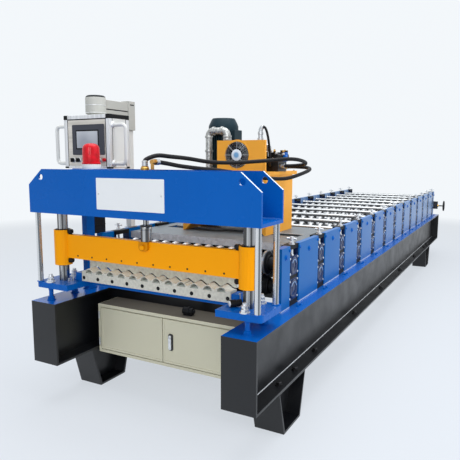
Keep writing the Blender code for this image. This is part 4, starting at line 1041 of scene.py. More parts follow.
def make_tie_rods():
    """A bar with collars between the side frames after every station but the last."""
    build = bmesh.new()
    inner = SIDE_OUTER - 0.028 - 0.0005
    for centre in roll_centres[:-1]:
        profile = [
            (0.0, 0.0), (0.021, 0.0), (0.022, 0.002), (0.022, 0.014), (0.021, 0.016), (0.016, 0.016),
            (0.016, 2 * inner - 0.016), (0.021, 2 * inner - 0.016), (0.022, 2 * inner - 0.014),
            (0.022, 2 * inner - 0.002), (0.021, 2 * inner), (0.0, 2 * inner),
        ]
        turned(build, profile, (-inner, centre.y + PITCH / 2, SIDE_TOP - 0.052), RIGHT, 20)
    piece("tie_rods", build, cross_steel)


def make_flange_bolts():
    """Paired heads beside every window, dark bolts on the lower flange, and a pale bead above them as a
    painted highlight.
    """
    upper = bmesh.new()
    lower = bmesh.new()
    bead = bmesh.new()
    beam_outer = own(bed_high).x
    for side in (-1, 1):
        for centre in roll_centres:
            for along in (-0.018, 0.018):
                bolt(upper, (side * (SIDE_OUTER + 0.030), centre.y + along, BEAM_TOP), UP, 0.013, 0.006)
        for along in FLANGE_BOLTS:
            bolt(lower, (side * (beam_outer - 0.038), along, FLANGE_LEVEL), UP, 0.027, 0.015)
        foot = side * (beam_outer - 0.0835)
        corner = [(foot - side * 0.001, 0.2565), (foot + side * 0.0035, 0.2565),
                  (foot - side * 0.001, 0.2610)]
        sheet_metal(bead, corner, 0.020, own(bed_high).y - 0.020)
    piece("beam_corner_highlights", bead, corner_highlight_steel, crease=60)
    piece("flange_bolts_upper", upper, blue_enamel)
    piece("flange_bolts_lower", lower, dark_steel)


make_tie_rods()
make_flange_bolts()
print("tie rods:", STATIONS - 1)


# %% [markdown]
# The shear's die and blade are read at once by their waves. The real die is a block whose top
# follows the sheet, with an open arch under each crest, and a row of deep bolt holes along its
# face. The blade above repeats the wave. Both are made from the same cosine as the rolls.

# %% Die and blade
die_low, die_high = own_box("shear_die")
blade_low, blade_high = own_box("cutting_blade")
HALF_WAVES = WAVES * WAVE_PITCH / 2
DIE_SKIN = 0.0045
ARCH_HALF = 0.025


def wave_line(mean):
    """Points of the wave from left to right, twelve to a crest."""
    line = []
    for index in range(WAVES * 12 + 1):
        across = -HALF_WAVES + index * WAVE_PITCH / 12
        swing = WAVE_HEIGHT / 2 * math.cos(2 * math.pi * (across + HALF_WAVES) / WAVE_PITCH)
        line.append((across, mean - swing))
    return line


def make_die():
    """The die as one strip of wave over arches, with a solid foot."""
    build = bmesh.new()
    mean = die_high.z - WAVE_HEIGHT / 2
    floor = mean - WAVE_HEIGHT / 2 - 0.010
    near, far = die_low.y, die_high.y
    left, right = die_low.x, die_high.x
    block(build, (left, near, die_low.z), (right, far, floor))
    line = wave_line(mean)
    skirt = [(left, line[0][1]), *line, (right, line[-1][1])]
    for (x0, z0), (x1, z1) in zip(skirt, skirt[1:]):
        under = []
        for x, z in ((x0, z0), (x1, z1)):
            offset = abs((x + HALF_WAVES + WAVE_PITCH / 2) % WAVE_PITCH - WAVE_PITCH / 2)
            inside = abs(x) < HALF_WAVES and WAVE_PITCH / 2 - offset < ARCH_HALF
            under.append(z - DIE_SKIN if inside else floor)
        sheet_metal(build, [(x0, under[0]), (x1, under[1]), (x1, z1), (x0, z0)], near, far)
    bmesh.ops.remove_doubles(build, verts=build.verts, dist=0.00002)
    made = piece("wave_die", build, die_steel, crease=40)
    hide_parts("shear_die")


def make_die_holes():
    """Ten bolt holes along the die's face, shallow black dishes as painted shade for their depth."""
    dark = bmesh.new()
    profile = [(0.0, -0.0012), (0.0088, -0.0012), (0.0104, -0.0005), (0.0104, 0.0), (0.0, 0.0)]
    for index in range(10):
        place = (-0.455 + 0.101 * index, die_low.y - 0.0003, die_low.z + 0.0200)
        turned(dark, profile, place, FRONT, 18)
    piece("die_bolt_holes", dark, black_plastic_and_hole_shade)


def make_blade():
    """The upper blade: a plate whose lower edge is the wave."""
    build = bmesh.new()
    mean = blade_low.z + WAVE_HEIGHT / 2 - 0.011
    line = wave_line(mean)
    outline = [(blade_low.x, line[0][1]), *line, (blade_high.x, line[-1][1])]
    near, far, top = blade_low.y, blade_high.y, blade_high.z
    for (x0, z0), (x1, z1) in zip(outline, outline[1:]):
        sheet_metal(build, [(x0, z0), (x1, z1), (x1, top), (x0, top)], near, far)
    bmesh.ops.remove_doubles(build, verts=build.verts, dist=0.00002)
    made = piece("wave_blade", build, blade_steel, body="shear_blade", crease=40)
    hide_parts("cutting_blade")


make_die()
make_die_holes()
make_blade()
print("die mean height:", round(die_high.z - WAVE_HEIGHT / 2, 4))


# %% [markdown]
# The yellow beam carries the blade. It has a row of small tapped holes, a clevis with its pin in
# the middle, and rims on its two sleeves, and it hangs from the cylinder's bright coupling.

# %% Blade beam details
beam_low, beam_high = own_box("blade_beam")
BEAM_FACE = 0.128
COLUMN_X = own(box_of("guide_column_right")[1]).x - 0.0275
COLUMN_Y = own(box_of("guide_column_right")[1]).y - 0.0275
TABLE_TOP = die_low.z - 0.0003
BEAM_LOW = TABLE_TOP + 0.132
BEAM_TOP_EDGE = BEAM_LOW + 0.130


def make_beam_details():
    """Small holes as black discs of painted shade, dark plugs over and under the beam, clevis with its pin,
    and sleeve rims.
    """
    holes = bmesh.new()
    for index in range(10):
        across = -0.456 + 0.912 * index / 9
        solid(holes, [(0.0050, -0.0002), (0.0050, 0.0006)],
              (across, BEAM_FACE, BEAM_LOW + 0.017), FRONT, 14)
    for side in (-1, 1):
        for height, way in ((BEAM_LOW + 0.001, -1), (BEAM_TOP_EDGE - 0.001, 1)):
            turned(holes, [(0.0, 0.0), (0.010, 0.0), (0.010, 0.006), (0.016, 0.008), (0.017, 0.020),
                           (0.013, 0.028), (0.0, 0.029)],
                   (side * (COLUMN_X - 0.058), BEAM_FACE + 0.014, height), (0, 0, way), 20)
    piece("beam_holes", holes, black_plastic_and_hole_shade, body="shear_blade")
    pin = bmesh.new()
    drop = BEAM_TOP_EDGE - 0.027
    tab = [(-0.028, BEAM_TOP_EDGE + 0.001)] + arc((-0.008, drop), 0.020, 180, 270, 5)
    tab += arc((0.008, drop), 0.020, 270, 360, 5)
    sheet_metal(pin, tab + [(0.028, BEAM_TOP_EDGE + 0.001)], BEAM_FACE - 0.0160, BEAM_FACE + 0.001)
    piece("clevis_tab", pin, tab_enamel_shaded, 0.0015, body="shear_blade")
    pin = bmesh.new()
    solid(pin, [(0.0090, 0.0), (0.0090, 0.0030), (0.0125, 0.0035), (0.0125, 0.0100), (0.0100, 0.0125)],
          (0.0, BEAM_FACE - 0.0155, drop), FRONT, 24)
    piece("clevis_pin", pin, yellow_enamel, body="shear_blade")
    rims = bmesh.new()
    for side in (-1, 1):
        for height, direction in ((beam_high.z, 1), (beam_low.z, -1)):
            profile = [(0.0280, -0.001), (0.0400, -0.001), (0.0400, 0.0020), (0.0385, 0.0032),
                       (0.0280, 0.0032)]
            turned(rims, profile, (side * COLUMN_X, COLUMN_Y, height), (0, 0, direction), 32)
    piece("sleeve_wipers", rims, black_plastic_and_hole_shade, body="shear_blade")


def make_coupling():
    """The rod's coupling, with a groove and a dark ring, replaces the plain turned solid."""
    low, high = box_of("cylinder_rod")
    base = own(low).z
    profile = [
        (0.0, 0.0), (0.0265, 0.0), (0.0280, 0.002), (0.0280, 0.058), (0.0270, 0.0590), (0.0270, 0.0615),
        (0.0280, 0.0625), (0.0280, 0.074), (0.0260, 0.078), (0.018, 0.078), (0.018, 0.084), (0.014, 0.086),
        (0.014, high.z - low.z), (0.0, high.z - low.z),
    ]
    build = bmesh.new()
    turned(build, profile, (0.0, COLUMN_Y, base), UP, 40)
    made = piece("rod_and_coupling", build, drawn_steel, body="shear_blade")
    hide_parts("cylinder_rod")
    ring = bmesh.new()
    turned(ring, [(0.0200, 0.0), (0.0300, 0.0), (0.0300, 0.007), (0.0200, 0.007)],
           (0.0, COLUMN_Y, base + 0.0745), UP, 40)
    piece("coupling_ring", ring, dark_steel, body="shear_blade")


make_beam_details()
make_coupling()
print("beam details on shear_blade")


# %% [markdown]
# The shear head carries a bare white plate with two screws. Bright nuts lock the table's jack
# screws, collars stand round the posts, and a limit switch with a roller and two pegs flank the
# die.

# %% Shear head and table hardware
table_low, table_high = own_box("shear_table")
PLATE_LEFT, PLATE_FOOT, PLATE_RIGHT, PLATE_TOP = -0.211, 1.114, 0.200, 1.270
JACK_X = table_high.x - 0.082
POST_X = table_high.x - 0.025


def make_name_plate():
    """A blank white plate, slightly proud, with a screw in each end."""
    build = bmesh.new()
    face = head_low.y
    outline = rounded(PLATE_LEFT, PLATE_FOOT, PLATE_RIGHT, PLATE_TOP, 0.003)
    sheet_metal(build, outline, face - 0.0022, face + 0.0002)
    piece("name_plate", build, white_plastic, 0.0006)
    screws = bmesh.new()
    for across in (PLATE_LEFT + 0.015, PLATE_RIGHT - 0.015):
        turned(screws, [(0.0, 0.0), (0.0045, 0.0), (0.0045, 0.001), (0.003, 0.0022), (0.0, 0.0024)],
               (across, face - 0.0021, (PLATE_FOOT + PLATE_TOP) / 2), FRONT, 14)
    piece("name_plate_screws", screws, bolt_zinc)


def make_head_nuts():
    """Nuts that lock the jack screws, their feet on the beams, and collars round the head's posts."""
    white = bmesh.new()
    painted = bmesh.new()
    bottom, top = TABLE_TOP - 0.032, TABLE_TOP
    for side in (-1, 1):
        for along in (table_low.y + 0.027, table_high.y - 0.027):
            x = side * JACK_X
            stack = x - side * 0.010
            bolt(white, (stack, along - 0.008, top), UP, 0.034, 0.015)
            bar(white, (stack, along - 0.008, top + 0.012), (stack, along - 0.008, top + 0.046), 0.0100, 14)
            bolt(white, (stack, along - 0.008, top + 0.020), UP, 0.029, 0.012, False)
            bolt(painted, (x, along, bottom), (0, 0, -1), 0.026, 0.012)
            bolt(painted, (x, along, BEAM_TOP), UP, 0.034, 0.016)
        for along in (head_low.y + 0.0285, head_high.y - 0.01425):
            x = side * POST_X
            turned(painted, [(0.015, 0.0), (0.021, 0.0), (0.021, 0.003), (0.0155, 0.0045)],
                   (x, along, top), UP, 24)
    piece("jack_nuts", white, white_zinc)
    piece("jack_feet", painted, blue_enamel, 0.0008)


def make_side_switch():
    """A small limit switch with its roller beside the die, and two pegs at the die's other end."""
    body = bmesh.new()
    roller = bmesh.new()
    tip = bmesh.new()
    x, y, top = 0.5220, 0.1220, TABLE_TOP
    run = Vector((-0.66, -0.75, 0.0)).normalized()
    start = Vector((x, y, top + 0.0190))
    profile = [(0.0, 0.0), (0.0165, 0.0), (0.0165, 0.018), (0.0145, 0.020), (0.0145, 0.026), (0.0175, 0.028),
               (0.0175, 0.056), (0.0, 0.056)]
    turned(roller, profile, start - run * 0.026, run, 24)
    solid(tip, [(0.0135, 0.0), (0.0135, 0.003), (0.0110, 0.0045)], start + run * 0.0295, run, 24)
    block(body, (x - 0.012, y + 0.006, top), (x + 0.030, y + 0.044, top + 0.010))
    bar(body, (x - 0.008, y + 0.052, top), (x - 0.008, y + 0.052, top + 0.052), 0.0042, 12)
    for along in (0.118, 0.150):
        bar(body, (-0.520, along, top), (-0.520, along, top + 0.020), 0.0065, 12)
    piece("side_roller_bodies", roller, black_plastic_and_hole_shade, 0.0012)
    piece("side_roller_tips", tip, white_plastic, 0.0008)
    piece("side_roller_feet", body, bolt_zinc, 0.0008)


def make_plate_seams():
    """Weld beads where the head's two plates meet its floor plate."""
    build = bmesh.new()
    floor = head_floor + 0.016
    for along, lean in ((head_low.y + 0.012, 1), (head_high.y - 0.012, -1)):
        outline = [(along, floor), (along + lean * 0.006, floor), (along, floor + 0.006)]
        sheet_metal(build, outline, head_low.x + 0.004, head_high.x - 0.004, "YZ")
    piece("head_weld_seams", build, blue_enamel, crease=60)


def make_cable_channel():
    """The cable post as a folded channel, and the duct that runs on from it."""
    low, high = own_box("cable_post")
    post = bmesh.new()
    block(post, (low.x + 0.006, low.y + 0.017, low.z), (high.x - 0.006, high.y - 0.016, high.z))
    block(post, (low.x + 0.001, low.y + 0.012, low.z), (high.x - 0.001, high.y - 0.011, low.z + 0.006))
    made = piece("cable_channel", post, blue_enamel, 0.0020)
    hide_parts("cable_post")
    duct = bmesh.new()
    start, end = own_box("cable_duct")
    block(duct, (start.x + 0.008, high.y - 0.0155, start.z), (end.x - 0.006, end.y - 0.032, end.z))
    for share in (0.25, 0.5, 0.75):
        level = start.z + (end.z - start.z) * share
        block(duct, (start.x + 0.006, high.y - 0.0150, level), (end.x - 0.004, end.y - 0.030, level + 0.004))
    made = piece("cable_chain", duct, duct_paint, 0.0015)
    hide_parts("cable_duct")


make_name_plate()
make_cable_channel()
make_head_nuts()
make_side_switch()
make_plate_seams()
print("head hardware placed")


# %% [markdown]
# At the cylinder's top two fittings take the hoses: a brass-coloured port straight up, and an
# elbow that looks to the rear. Each hose ends in a crimped steel sleeve. The same sleeves sit
# where the hoses enter the valve block.

# %% Hose fittings
def make_fittings():
    """Crimp sleeves, hexagons and the port's collar."""
    steel = bmesh.new()
    gold = bmesh.new()
    sleeve = [(0.0118, 0.0), (0.0150, 0.001), (0.0150, 0.012), (0.0140, 0.013), (0.0140, 0.015),
              (0.0150, 0.016),
              (0.0150, 0.026), (0.0118, 0.028)]
    for place, direction in (
        ((0.0003, 0.142, 1.3275), UP), ((0.046, 0.1655, 1.348), (0, 1, 0)),
        ((0.3004, 1.140, 1.322), RIGHT), ((0.3004, 1.195, 1.316), RIGHT),
    ):
        turned(steel, [(0.0, 0.0)] + sleeve + [(0.0, 0.028)], place, direction, 18)
        step = Vector(direction)
        solid(gold, [(0.0165, 0.0), (0.0165, 0.010), (0.0150, 0.012)],
              Vector(place) - step * 0.010, direction, 6)
    solid(gold, [(0.0215, 0.0), (0.0215, 0.010), (0.019, 0.013)],
          (0.0, 0.142, 1.3096), UP, 24)
    piece("hose_crimps", steel, bolt_zinc)
    piece("hose_hexagons", gold, brass)


make_fittings()
print("fittings placed")


# %% [markdown]
# The beacon's lens is a ribbed cap on a pale base. The ribs are vertical flutes, made by moving two
# of every four points of the turned rings inwards, and the rim below them is a plain step.

# %% Beacon
beacon_low, beacon_high = box_of("beacon")
BEACON_CENTRE = own((beacon_low + beacon_high) / 2)
LENS_RADIUS = 0.0455


def make_beacon():
    """Fluted red lens with a rim, on a pale turned base."""
    foot, top = beacon_low.z, beacon_high.z
    lens = foot + 0.026
    build = bmesh.new()
    heights = [lens, lens + 0.008, lens + 0.010, top - 0.028, top - 0.016, top - 0.007, top - 0.002, top]
    radii = [LENS_RADIUS + 0.003, LENS_RADIUS + 0.003, LENS_RADIUS, 0.0445, 0.041, 0.032, 0.020, 0.0]
    profile = [(0.0, 0.0)] + [(radius, height - lens) for radius, height in zip(radii, heights)]
    rings = turned(build, profile, (BEACON_CENTRE.x, COLUMN_Y, lens), UP, 72)
    centre = at(BEACON_CENTRE.x, COLUMN_Y, 0.0)
    for ring in rings[3:6]:
        for index, vertex in enumerate(ring):
            if index % 4 < 2:
                flat = Vector((vertex.co.x - centre.x, vertex.co.y - centre.y, 0.0))
                vertex.co -= flat * 0.020
    made = piece("beacon_lens", build, lens_red, crease=30)
    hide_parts("beacon")
    base = bmesh.new()
    solid(base, [(0.048, 0.0), (0.0495, 0.002), (0.0495, 0.020), (0.047, 0.0258)],
          (BEACON_CENTRE.x, COLUMN_Y, foot), UP, 48)
    piece("beacon_base", base, pale_powder)


make_beacon()
print("beacon at", tuple(round(v, 3) for v in BEACON_CENTRE))


# %% [markdown]
# The electric cabinet hangs between the beams. Its doors are pressed sheet: a folded lip runs
# round each one, and a swing handle locks the right door over the left. The hinges show as small
# knuckles that stay on the cabinet's wall. The top is covered by a thin dark sheet of painted
# shade, with a small roller stand on it.

# %% Cabinet doors and handle
def make_door_trim(node, word):
    """A folded lip round a door, and two hinge knuckles on the cabinet's wall beside it."""
    low, high = own_box(node)
    build = bmesh.new()
    lip, rise = 0.012, 0.0022
    left, right, bottom, top = low.x, high.x, low.z + 0.0048, high.z - 0.0048
    for (x0, z0), (x1, z1) in (
        ((left, bottom), (right, bottom + lip)), ((left, top - lip), (right, top)),
        ((left, bottom + lip), (left + lip, top - lip)), ((right - lip, bottom + lip), (right, top - lip)),
    ):
        block(build, (x0, low.y - rise, z0), (x1, low.y + 0.001, z1))
    piece(f"door_lip_{word}", build, beige_powder, 0.0008, body=f"door_{word}")
    pins = bmesh.new()
    wall = left - 0.013 if word == "left" else right + 0.013
    for share in (0.18, 0.82):
        height = bottom + (top - bottom) * share
        bar(pins, (wall, low.y - 0.004, height - 0.022), (wall, low.y - 0.004, height + 0.022), 0.0052, 14)
    piece(f"door_hinges_{word}", pins, bolt_zinc)


def make_lock():
    """A swing handle in its dish on the right door."""
    face = own(box_of("cabinet_door_right")[0]).y - 0.0022
    dish = bmesh.new()
    sheet_metal(dish, rounded(-0.005, 0.320, 0.025, 0.414, 0.010), face - 0.0035, face + 0.002)
    piece("lock_dish", dish, dark_steel, 0.0010, body="door_right")
    grip = bmesh.new()
    sheet_metal(grip, rounded(0.0005, 0.326, 0.0185, 0.408, 0.008), face - 0.013, face - 0.004)
    piece("lock_handle", grip, white_zinc, 0.0022, body="door_right")
    barrel = bmesh.new()
    solid(barrel, [(0.0075, 0.0), (0.0075, 0.004), (0.0065, 0.005), (0.003, 0.005), (0.003, 0.003)],
          (0.010, face - 0.0128, 0.396), FRONT, 18)
    piece("lock_barrel", barrel, bolt_zinc, body="door_right")


def make_cabinet_top():
    """A thin dark sheet over the cabinet's top as painted shade, and the small roller on its stand."""
    low, high = own_box("electric_cabinet")
    edge = bmesh.new()
    block(edge, (low.x + 0.004, low.y + 0.006, high.z), (high.x, high.y, high.z + 0.0012))
    piece("cabinet_top_shade", edge, lid_shade_paint, 0.0008)
    roller = bmesh.new()
    centre = high.z + 0.024
    bar(roller, (0.054, 0.393, centre), (0.116, 0.393, centre), 0.0195, 24)
    solid(roller, [(0.024, 0.0), (0.025, 0.002), (0.025, 0.010), (0.024, 0.012)],
          (0.082, 0.393, centre), RIGHT, 24)
    bar(roller, (0.116, 0.393, centre), (0.124, 0.393, centre), 0.010, 16)
    block(roller, (0.058, 0.380, high.z), (0.110, 0.406, centre))
    face = bmesh.new()
    bar(face, (0.0530, 0.393, centre), (0.0545, 0.393, centre), 0.014, 20)
    piece("lid_roller_face", face, bolt_zinc)
    piece("lid_roller", roller, black_plastic_and_hole_shade, 0.0012)


make_door_trim("cabinet_door_left", "left")
make_door_trim("cabinet_door_right", "right")
make_lock()
make_cabinet_top()
print("cabinet dressed")


# %% [markdown]
# The operator box is built from aluminium profiles with black corner caps. In its front sit a
# framed touch screen with a bare grey pane, two selector knobs on the left, a light in the middle
# and a red stop button on the right.

# %% Operator box
arm_low, arm_high = own_box("panel_arm")
CASE_LEFT, CASE_RIGHT = -0.777, -0.431
CASE_FRONT, CASE_REAR = 0.379, 0.547
CASE_BOTTOM, CASE_TOP = 1.310, 1.614
PROFILE = 0.024


def make_case_frame():
    """Rounded aluminium posts on the corners and flat rails round top and bottom."""
    posts = bmesh.new()
    caps = bmesh.new()
    proud = 0.003
    for x in (CASE_LEFT, CASE_RIGHT):
        for y in (CASE_FRONT, CASE_REAR):
            inward_x = 1 if x == CASE_LEFT else -1
            inward_y = 1 if y == CASE_FRONT else -1
            low_x, high_x = sorted((x - inward_x * proud, x + inward_x * PROFILE))
            low_y, high_y = sorted((y - inward_y * proud, y + inward_y * PROFILE))
            block(posts, (low_x, low_y, CASE_BOTTOM), (high_x, high_y, CASE_TOP - 0.022))
            for foot, top in ((CASE_TOP - 0.022, CASE_TOP + 0.003),
                              (CASE_BOTTOM - 0.003, CASE_BOTTOM + 0.008)):
                block(caps, (low_x - 0.001, low_y - 0.001, foot), (high_x + 0.001, high_y + 0.001, top))
    for low_z, high_z in ((CASE_TOP - 0.021, CASE_TOP + 0.002), (CASE_BOTTOM - 0.002, CASE_BOTTOM + 0.012)):
        for y in (CASE_FRONT, CASE_REAR):
            out = -proud if y == CASE_FRONT else proud
            low_y, high_y = sorted((y + out, y - out * 4))
            block(posts, (CASE_LEFT + PROFILE, low_y, low_z), (CASE_RIGHT - PROFILE, high_y, high_z))
        for x in (CASE_LEFT, CASE_RIGHT):
            out = -proud if x == CASE_LEFT else proud
            low_x, high_x = sorted((x + out, x - out * 4))
            rail = caps if low_z > CASE_BOTTOM + 0.1 else posts
            block(rail, (low_x, CASE_FRONT + PROFILE, low_z), (high_x, CASE_REAR - PROFILE, high_z))
    seams = bmesh.new()
    left, right = CASE_LEFT + PROFILE, CASE_RIGHT - PROFILE
    near, far = CASE_FRONT - 0.0020, CASE_FRONT + 0.001
    foot, top = CASE_BOTTOM + 0.010, CASE_TOP - 0.020
    for x in (left, right - 0.004):
        block(seams, (x, near, foot), (x + 0.004, far, top))
    block(seams, (left, near, CASE_TOP - 0.026), (right, far, top))
    for y in (CASE_FRONT + PROFILE, CASE_REAR - PROFILE - 0.003):
        block(seams, (CASE_RIGHT - 0.001, y, foot), (CASE_RIGHT + 0.0015, y + 0.003, top))
    piece("case_seams", seams, black_plastic_and_hole_shade, body="panel")
    piece("case_profiles", posts, aluminium, 0.0035, body="panel")
    piece("case_corners", caps, black_plastic_and_hole_shade, 0.0030, body="panel")


def make_screen():
    """Front sheet, bezel and pane."""
    sheet = bmesh.new()
    sheet_metal(sheet, rounded(CASE_LEFT + PROFILE + 0.002, CASE_BOTTOM + 0.014, CASE_RIGHT - PROFILE - 0.002,
                               CASE_TOP - 0.024, 0.004), CASE_FRONT - 0.0015, CASE_FRONT + 0.001)
    piece("case_front", sheet, brushed_sheet, 0.0004, body="panel")
    bezel = bmesh.new()
    sheet_metal(bezel, rounded(-0.711, 1.386, -0.466, 1.561, 0.006), CASE_FRONT - 0.0085, CASE_FRONT - 0.001)
    piece("screen_bezel", bezel, bezel_grey, 0.0022, body="panel")
    rim = bmesh.new()
    sheet_metal(rim, rounded(-0.682, 1.418, -0.504, 1.530, 0.003), CASE_FRONT - 0.0090, CASE_FRONT - 0.0080)
    piece("screen_rim", rim, black_plastic_and_hole_shade, 0.0004, body="panel")
    pane = bmesh.new()
    sheet_metal(pane, rounded(-0.674, 1.426, -0.512, 1.522, 0.002), CASE_FRONT - 0.0096, CASE_FRONT - 0.0086)
    piece("screen_pane", pane, screen_grey, 0.0003, body="panel")


BUTTON_ROW = 1.356
KNOB_PLACES = (-0.712, -0.668)
LAMP_PLACE = -0.560
STOP_PLACE = -0.512


def make_buttons():
    """Selector knobs, lamp and stop button under the screen, each in a ring."""
    rings = bmesh.new()
    knobs = bmesh.new()
    stop = bmesh.new()
    lamp = bmesh.new()
    face = CASE_FRONT - 0.0015
    for x in (*KNOB_PLACES, LAMP_PLACE, STOP_PLACE):
        solid(rings, [(0.0155, 0.0), (0.0155, 0.003), (0.0135, 0.0050)],
              (x, face, BUTTON_ROW), FRONT, 28)
    for x in KNOB_PLACES:
        turned(knobs, [(0.0, 0.0), (0.0125, 0.0), (0.0120, 0.012), (0.0, 0.0130)],
               (x, face - 0.004, BUTTON_ROW), FRONT, 28)
        block(knobs, (x - 0.0035, face - 0.024, BUTTON_ROW - 0.012),
              (x + 0.0035, face - 0.012, BUTTON_ROW + 0.012))
    turned(lamp, [(0.0, 0.0), (0.0115, 0.0), (0.0110, 0.008), (0.0070, 0.0115), (0.0, 0.0125)],
           (LAMP_PLACE, face - 0.004, BUTTON_ROW), FRONT, 28)
    turned(stop, [(0.0, 0.0), (0.0095, 0.0), (0.0095, 0.010), (0.0190, 0.012), (0.0200, 0.020),
                  (0.0150, 0.026),
                  (0.0, 0.028)], (STOP_PLACE, face - 0.004, BUTTON_ROW), FRONT, 32)
    turned(stop, [(0.0, 0.0), (0.0105, 0.0), (0.0100, 0.010), (0.0, 0.012)], (-0.470, face, 1.357), FRONT, 24)
    piece("button_rings", rings, bolt_zinc, body="panel")
    piece("selector_knobs", knobs, black_plastic_and_hole_shade, 0.0010, body="panel")
    piece("green_lamp", lamp, lamp_green, body="panel")
    piece("stop_button", stop, red_plastic, body="panel")


def make_handle_mounts():
    """Round feet where the side handles meet the case."""
    build = bmesh.new()
    middle = (CASE_BOTTOM + CASE_TOP) / 2 - 0.015
    for side, x in ((-1, CASE_LEFT), (1, CASE_RIGHT)):
        for height in (middle - 0.110, middle + 0.110):
            solid(build, [(0.019, 0.0), (0.019, 0.004), (0.0135, 0.010)],
                  (x, CASE_FRONT + 0.030, height), (side, 0, 0), 24)
    piece("handle_mounts", build, aluminium, body="panel")


aluminium = bare_metal("aluminium", srgb(234, 236, 238), 0.36, (1.0, 1.0, 0.06), 70.0, metallic=0.4)
brushed_sheet = bare_metal("brushed_sheet", srgb(222, 217, 208), 0.40, (0.05, 1.0, 1.0), 80.0, metallic=0.4)
bezel_grey = enamel("bezel_grey", srgb(74, 76, 84), 0.45, 0.08, 0.0003)
lamp_green = enamel("lamp_green", srgb(40, 120, 60), 0.25, 0.05, 0.0001)
make_case_frame()
make_screen()
make_buttons()
make_handle_mounts()
print("operator box dressed")


# %% [markdown]
# The swing arm is a cast head on a swivel: a dark cap sits in the swivel's top, and a dark seam
# runs along the bar's flank. A collar carries the box below it.

# %% Swing arm details
COLUMN = (-0.602, 0.757)
SWIVEL = (-0.604, 0.463)
ARM_TOP = arm_high.z


def make_arm():
    """Head over the column, a two-part bar with a dark seam, and the swivel with its recessed cap."""
    build = bmesh.new()
    foot = arm_low.z
    block(build, (-0.633, 0.726, foot), (-0.571, 0.788, ARM_TOP - 0.008))
    block(build, (-0.627, 0.463, ARM_TOP - 0.072), (-0.577, 0.757, ARM_TOP - 0.020))
    block(build, (-0.624, 0.463, ARM_TOP - 0.100), (-0.580, 0.757, ARM_TOP - 0.077))
    low = ARM_TOP - 0.110
    solid(build, [(0.056, 0.0), (0.060, 0.004), (0.060, 0.094), (0.058, 0.097)],
          (*SWIVEL, low), UP, 48)
    made = piece("swing_arm", build, arm_powder, 0.0022, body="arm")
    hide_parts("panel_arm")
    dark = bmesh.new()
    turned(dark, [(0.0, 0.0), (0.0570, 0.0), (0.0560, 0.006), (0.0480, 0.0110), (0.0300, 0.0128),
                  (0.0, 0.0130)],
           (*SWIVEL, low + 0.0970), UP, 40)
    block(dark, (-0.6235, 0.470, ARM_TOP - 0.0775), (-0.5805, 0.752, ARM_TOP - 0.0715))
    block(dark, (-0.6342, 0.738, ARM_TOP - 0.034), (-0.5698, 0.776, ARM_TOP - 0.028))
    piece("arm_seams", dark, duct_paint, body="arm")
    ring = bmesh.new()
    for height in (low + 0.006, low + 0.050):
        turned(ring, [(0.052, 0.0), (0.0608, 0.0), (0.0608, 0.003), (0.052, 0.003)],
               (*SWIVEL, height), UP, 48)
    piece("swivel_rings", ring, aluminium, body="arm")


def make_arm_details():
    """Column base plate, and the collar on the box."""
    plates = bmesh.new()
    x, y = COLUMN
    outline = rounded(x - 0.0225, y - 0.040, x + 0.0225, y + 0.040, 0.004)
    sheet_metal(plates, outline, SIDE_TOP + 0.0003, SIDE_TOP + 0.008, "XY")
    for along in (-0.032, 0.032):
        bolt(plates, (x, y + along, SIDE_TOP + 0.008), UP, 0.012, 0.006)
    piece("column_foot", plates, bolt_zinc, 0.0006)
    collar = bmesh.new()
    turned(collar, [(0.040, 0.0), (0.052, 0.0), (0.052, 0.004), (0.046, 0.0095), (0.040, 0.0095)],
           (*SWIVEL, CASE_TOP), UP, 40)
    piece("case_collar", collar, pale_powder, body="panel")


arm_powder = enamel("arm_powder", srgb(184, 185, 180), 0.42, 0.05, 0.0005)
make_arm()
make_arm_details()
print("arm top:", round(ARM_TOP, 3))


# %% [markdown]
# The oil cooler blows through a round opening. A fan with curved blades turns behind a wire guard:
# rings and spokes of thin bright wire with a plain disc in the middle, and an orange rim round
# them. The blades are bent plates set at an angle, joined to one hub, and ride on the fan's body.

# %% Cooler fan and guard
FAN_X = own((box_of("cooler_fan")[0] + box_of("cooler_fan")[1]) / 2).x
FAN_Z = (box_of("cooler_fan")[0].z + box_of("cooler_fan")[1].z) / 2
COOLER_FRONT = own(cooler_low).y
WELL = 0.088


FAN_BLADES = 7
GUARD_RINGS = (0.046, 0.054, 0.062, 0.070, 0.0775)


def make_fan():
    """Swept blades on a domed hub."""
    build = bmesh.new()
    centre = Vector((FAN_X, COOLER_FRONT + 0.041, FAN_Z))
    turned(build, [(0.0, 0.0), (0.020, 0.001), (0.027, 0.006), (0.028, 0.012), (0.028, 0.055), (0.0, 0.055)],
           (FAN_X, COOLER_FRONT + 0.012, FAN_Z), (0, 1, 0), 32)
    for number in range(FAN_BLADES):
        turn = 2 * math.pi * number / FAN_BLADES
        rows = []
        for step in range(6):
            radius = 0.024 + 0.055 * step / 5
            sweep = turn + 0.30 * (step / 5) ** 1.5
            chord = 0.36 + 0.10 * step / 5
            pitch = 0.020 - 0.008 * step / 5
            row = []
            for share in (-1.0, -0.33, 0.33, 1.0):
                angle = sweep + share * chord / 2
                depth = share * pitch + 0.003 * (1 - share * share)
                row.append((radius, angle, depth))
            rows.append(row)
        for offset in (0.0, 0.0016):
            grid = [[build.verts.new(at(
                centre.x + radius * math.cos(angle), centre.y + depth + offset,
                centre.z + radius * math.sin(angle)))
                     for radius, angle, depth in row] for row in rows]
            for first, second in zip(grid, grid[1:]):
                for column in range(3):
                    build.faces.new((first[column], first[column + 1], second[column + 1], second[column]))
    made = piece("fan_blades", build, black_plastic_and_hole_shade, body="fan", crease=60)
    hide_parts("cooler_fan")


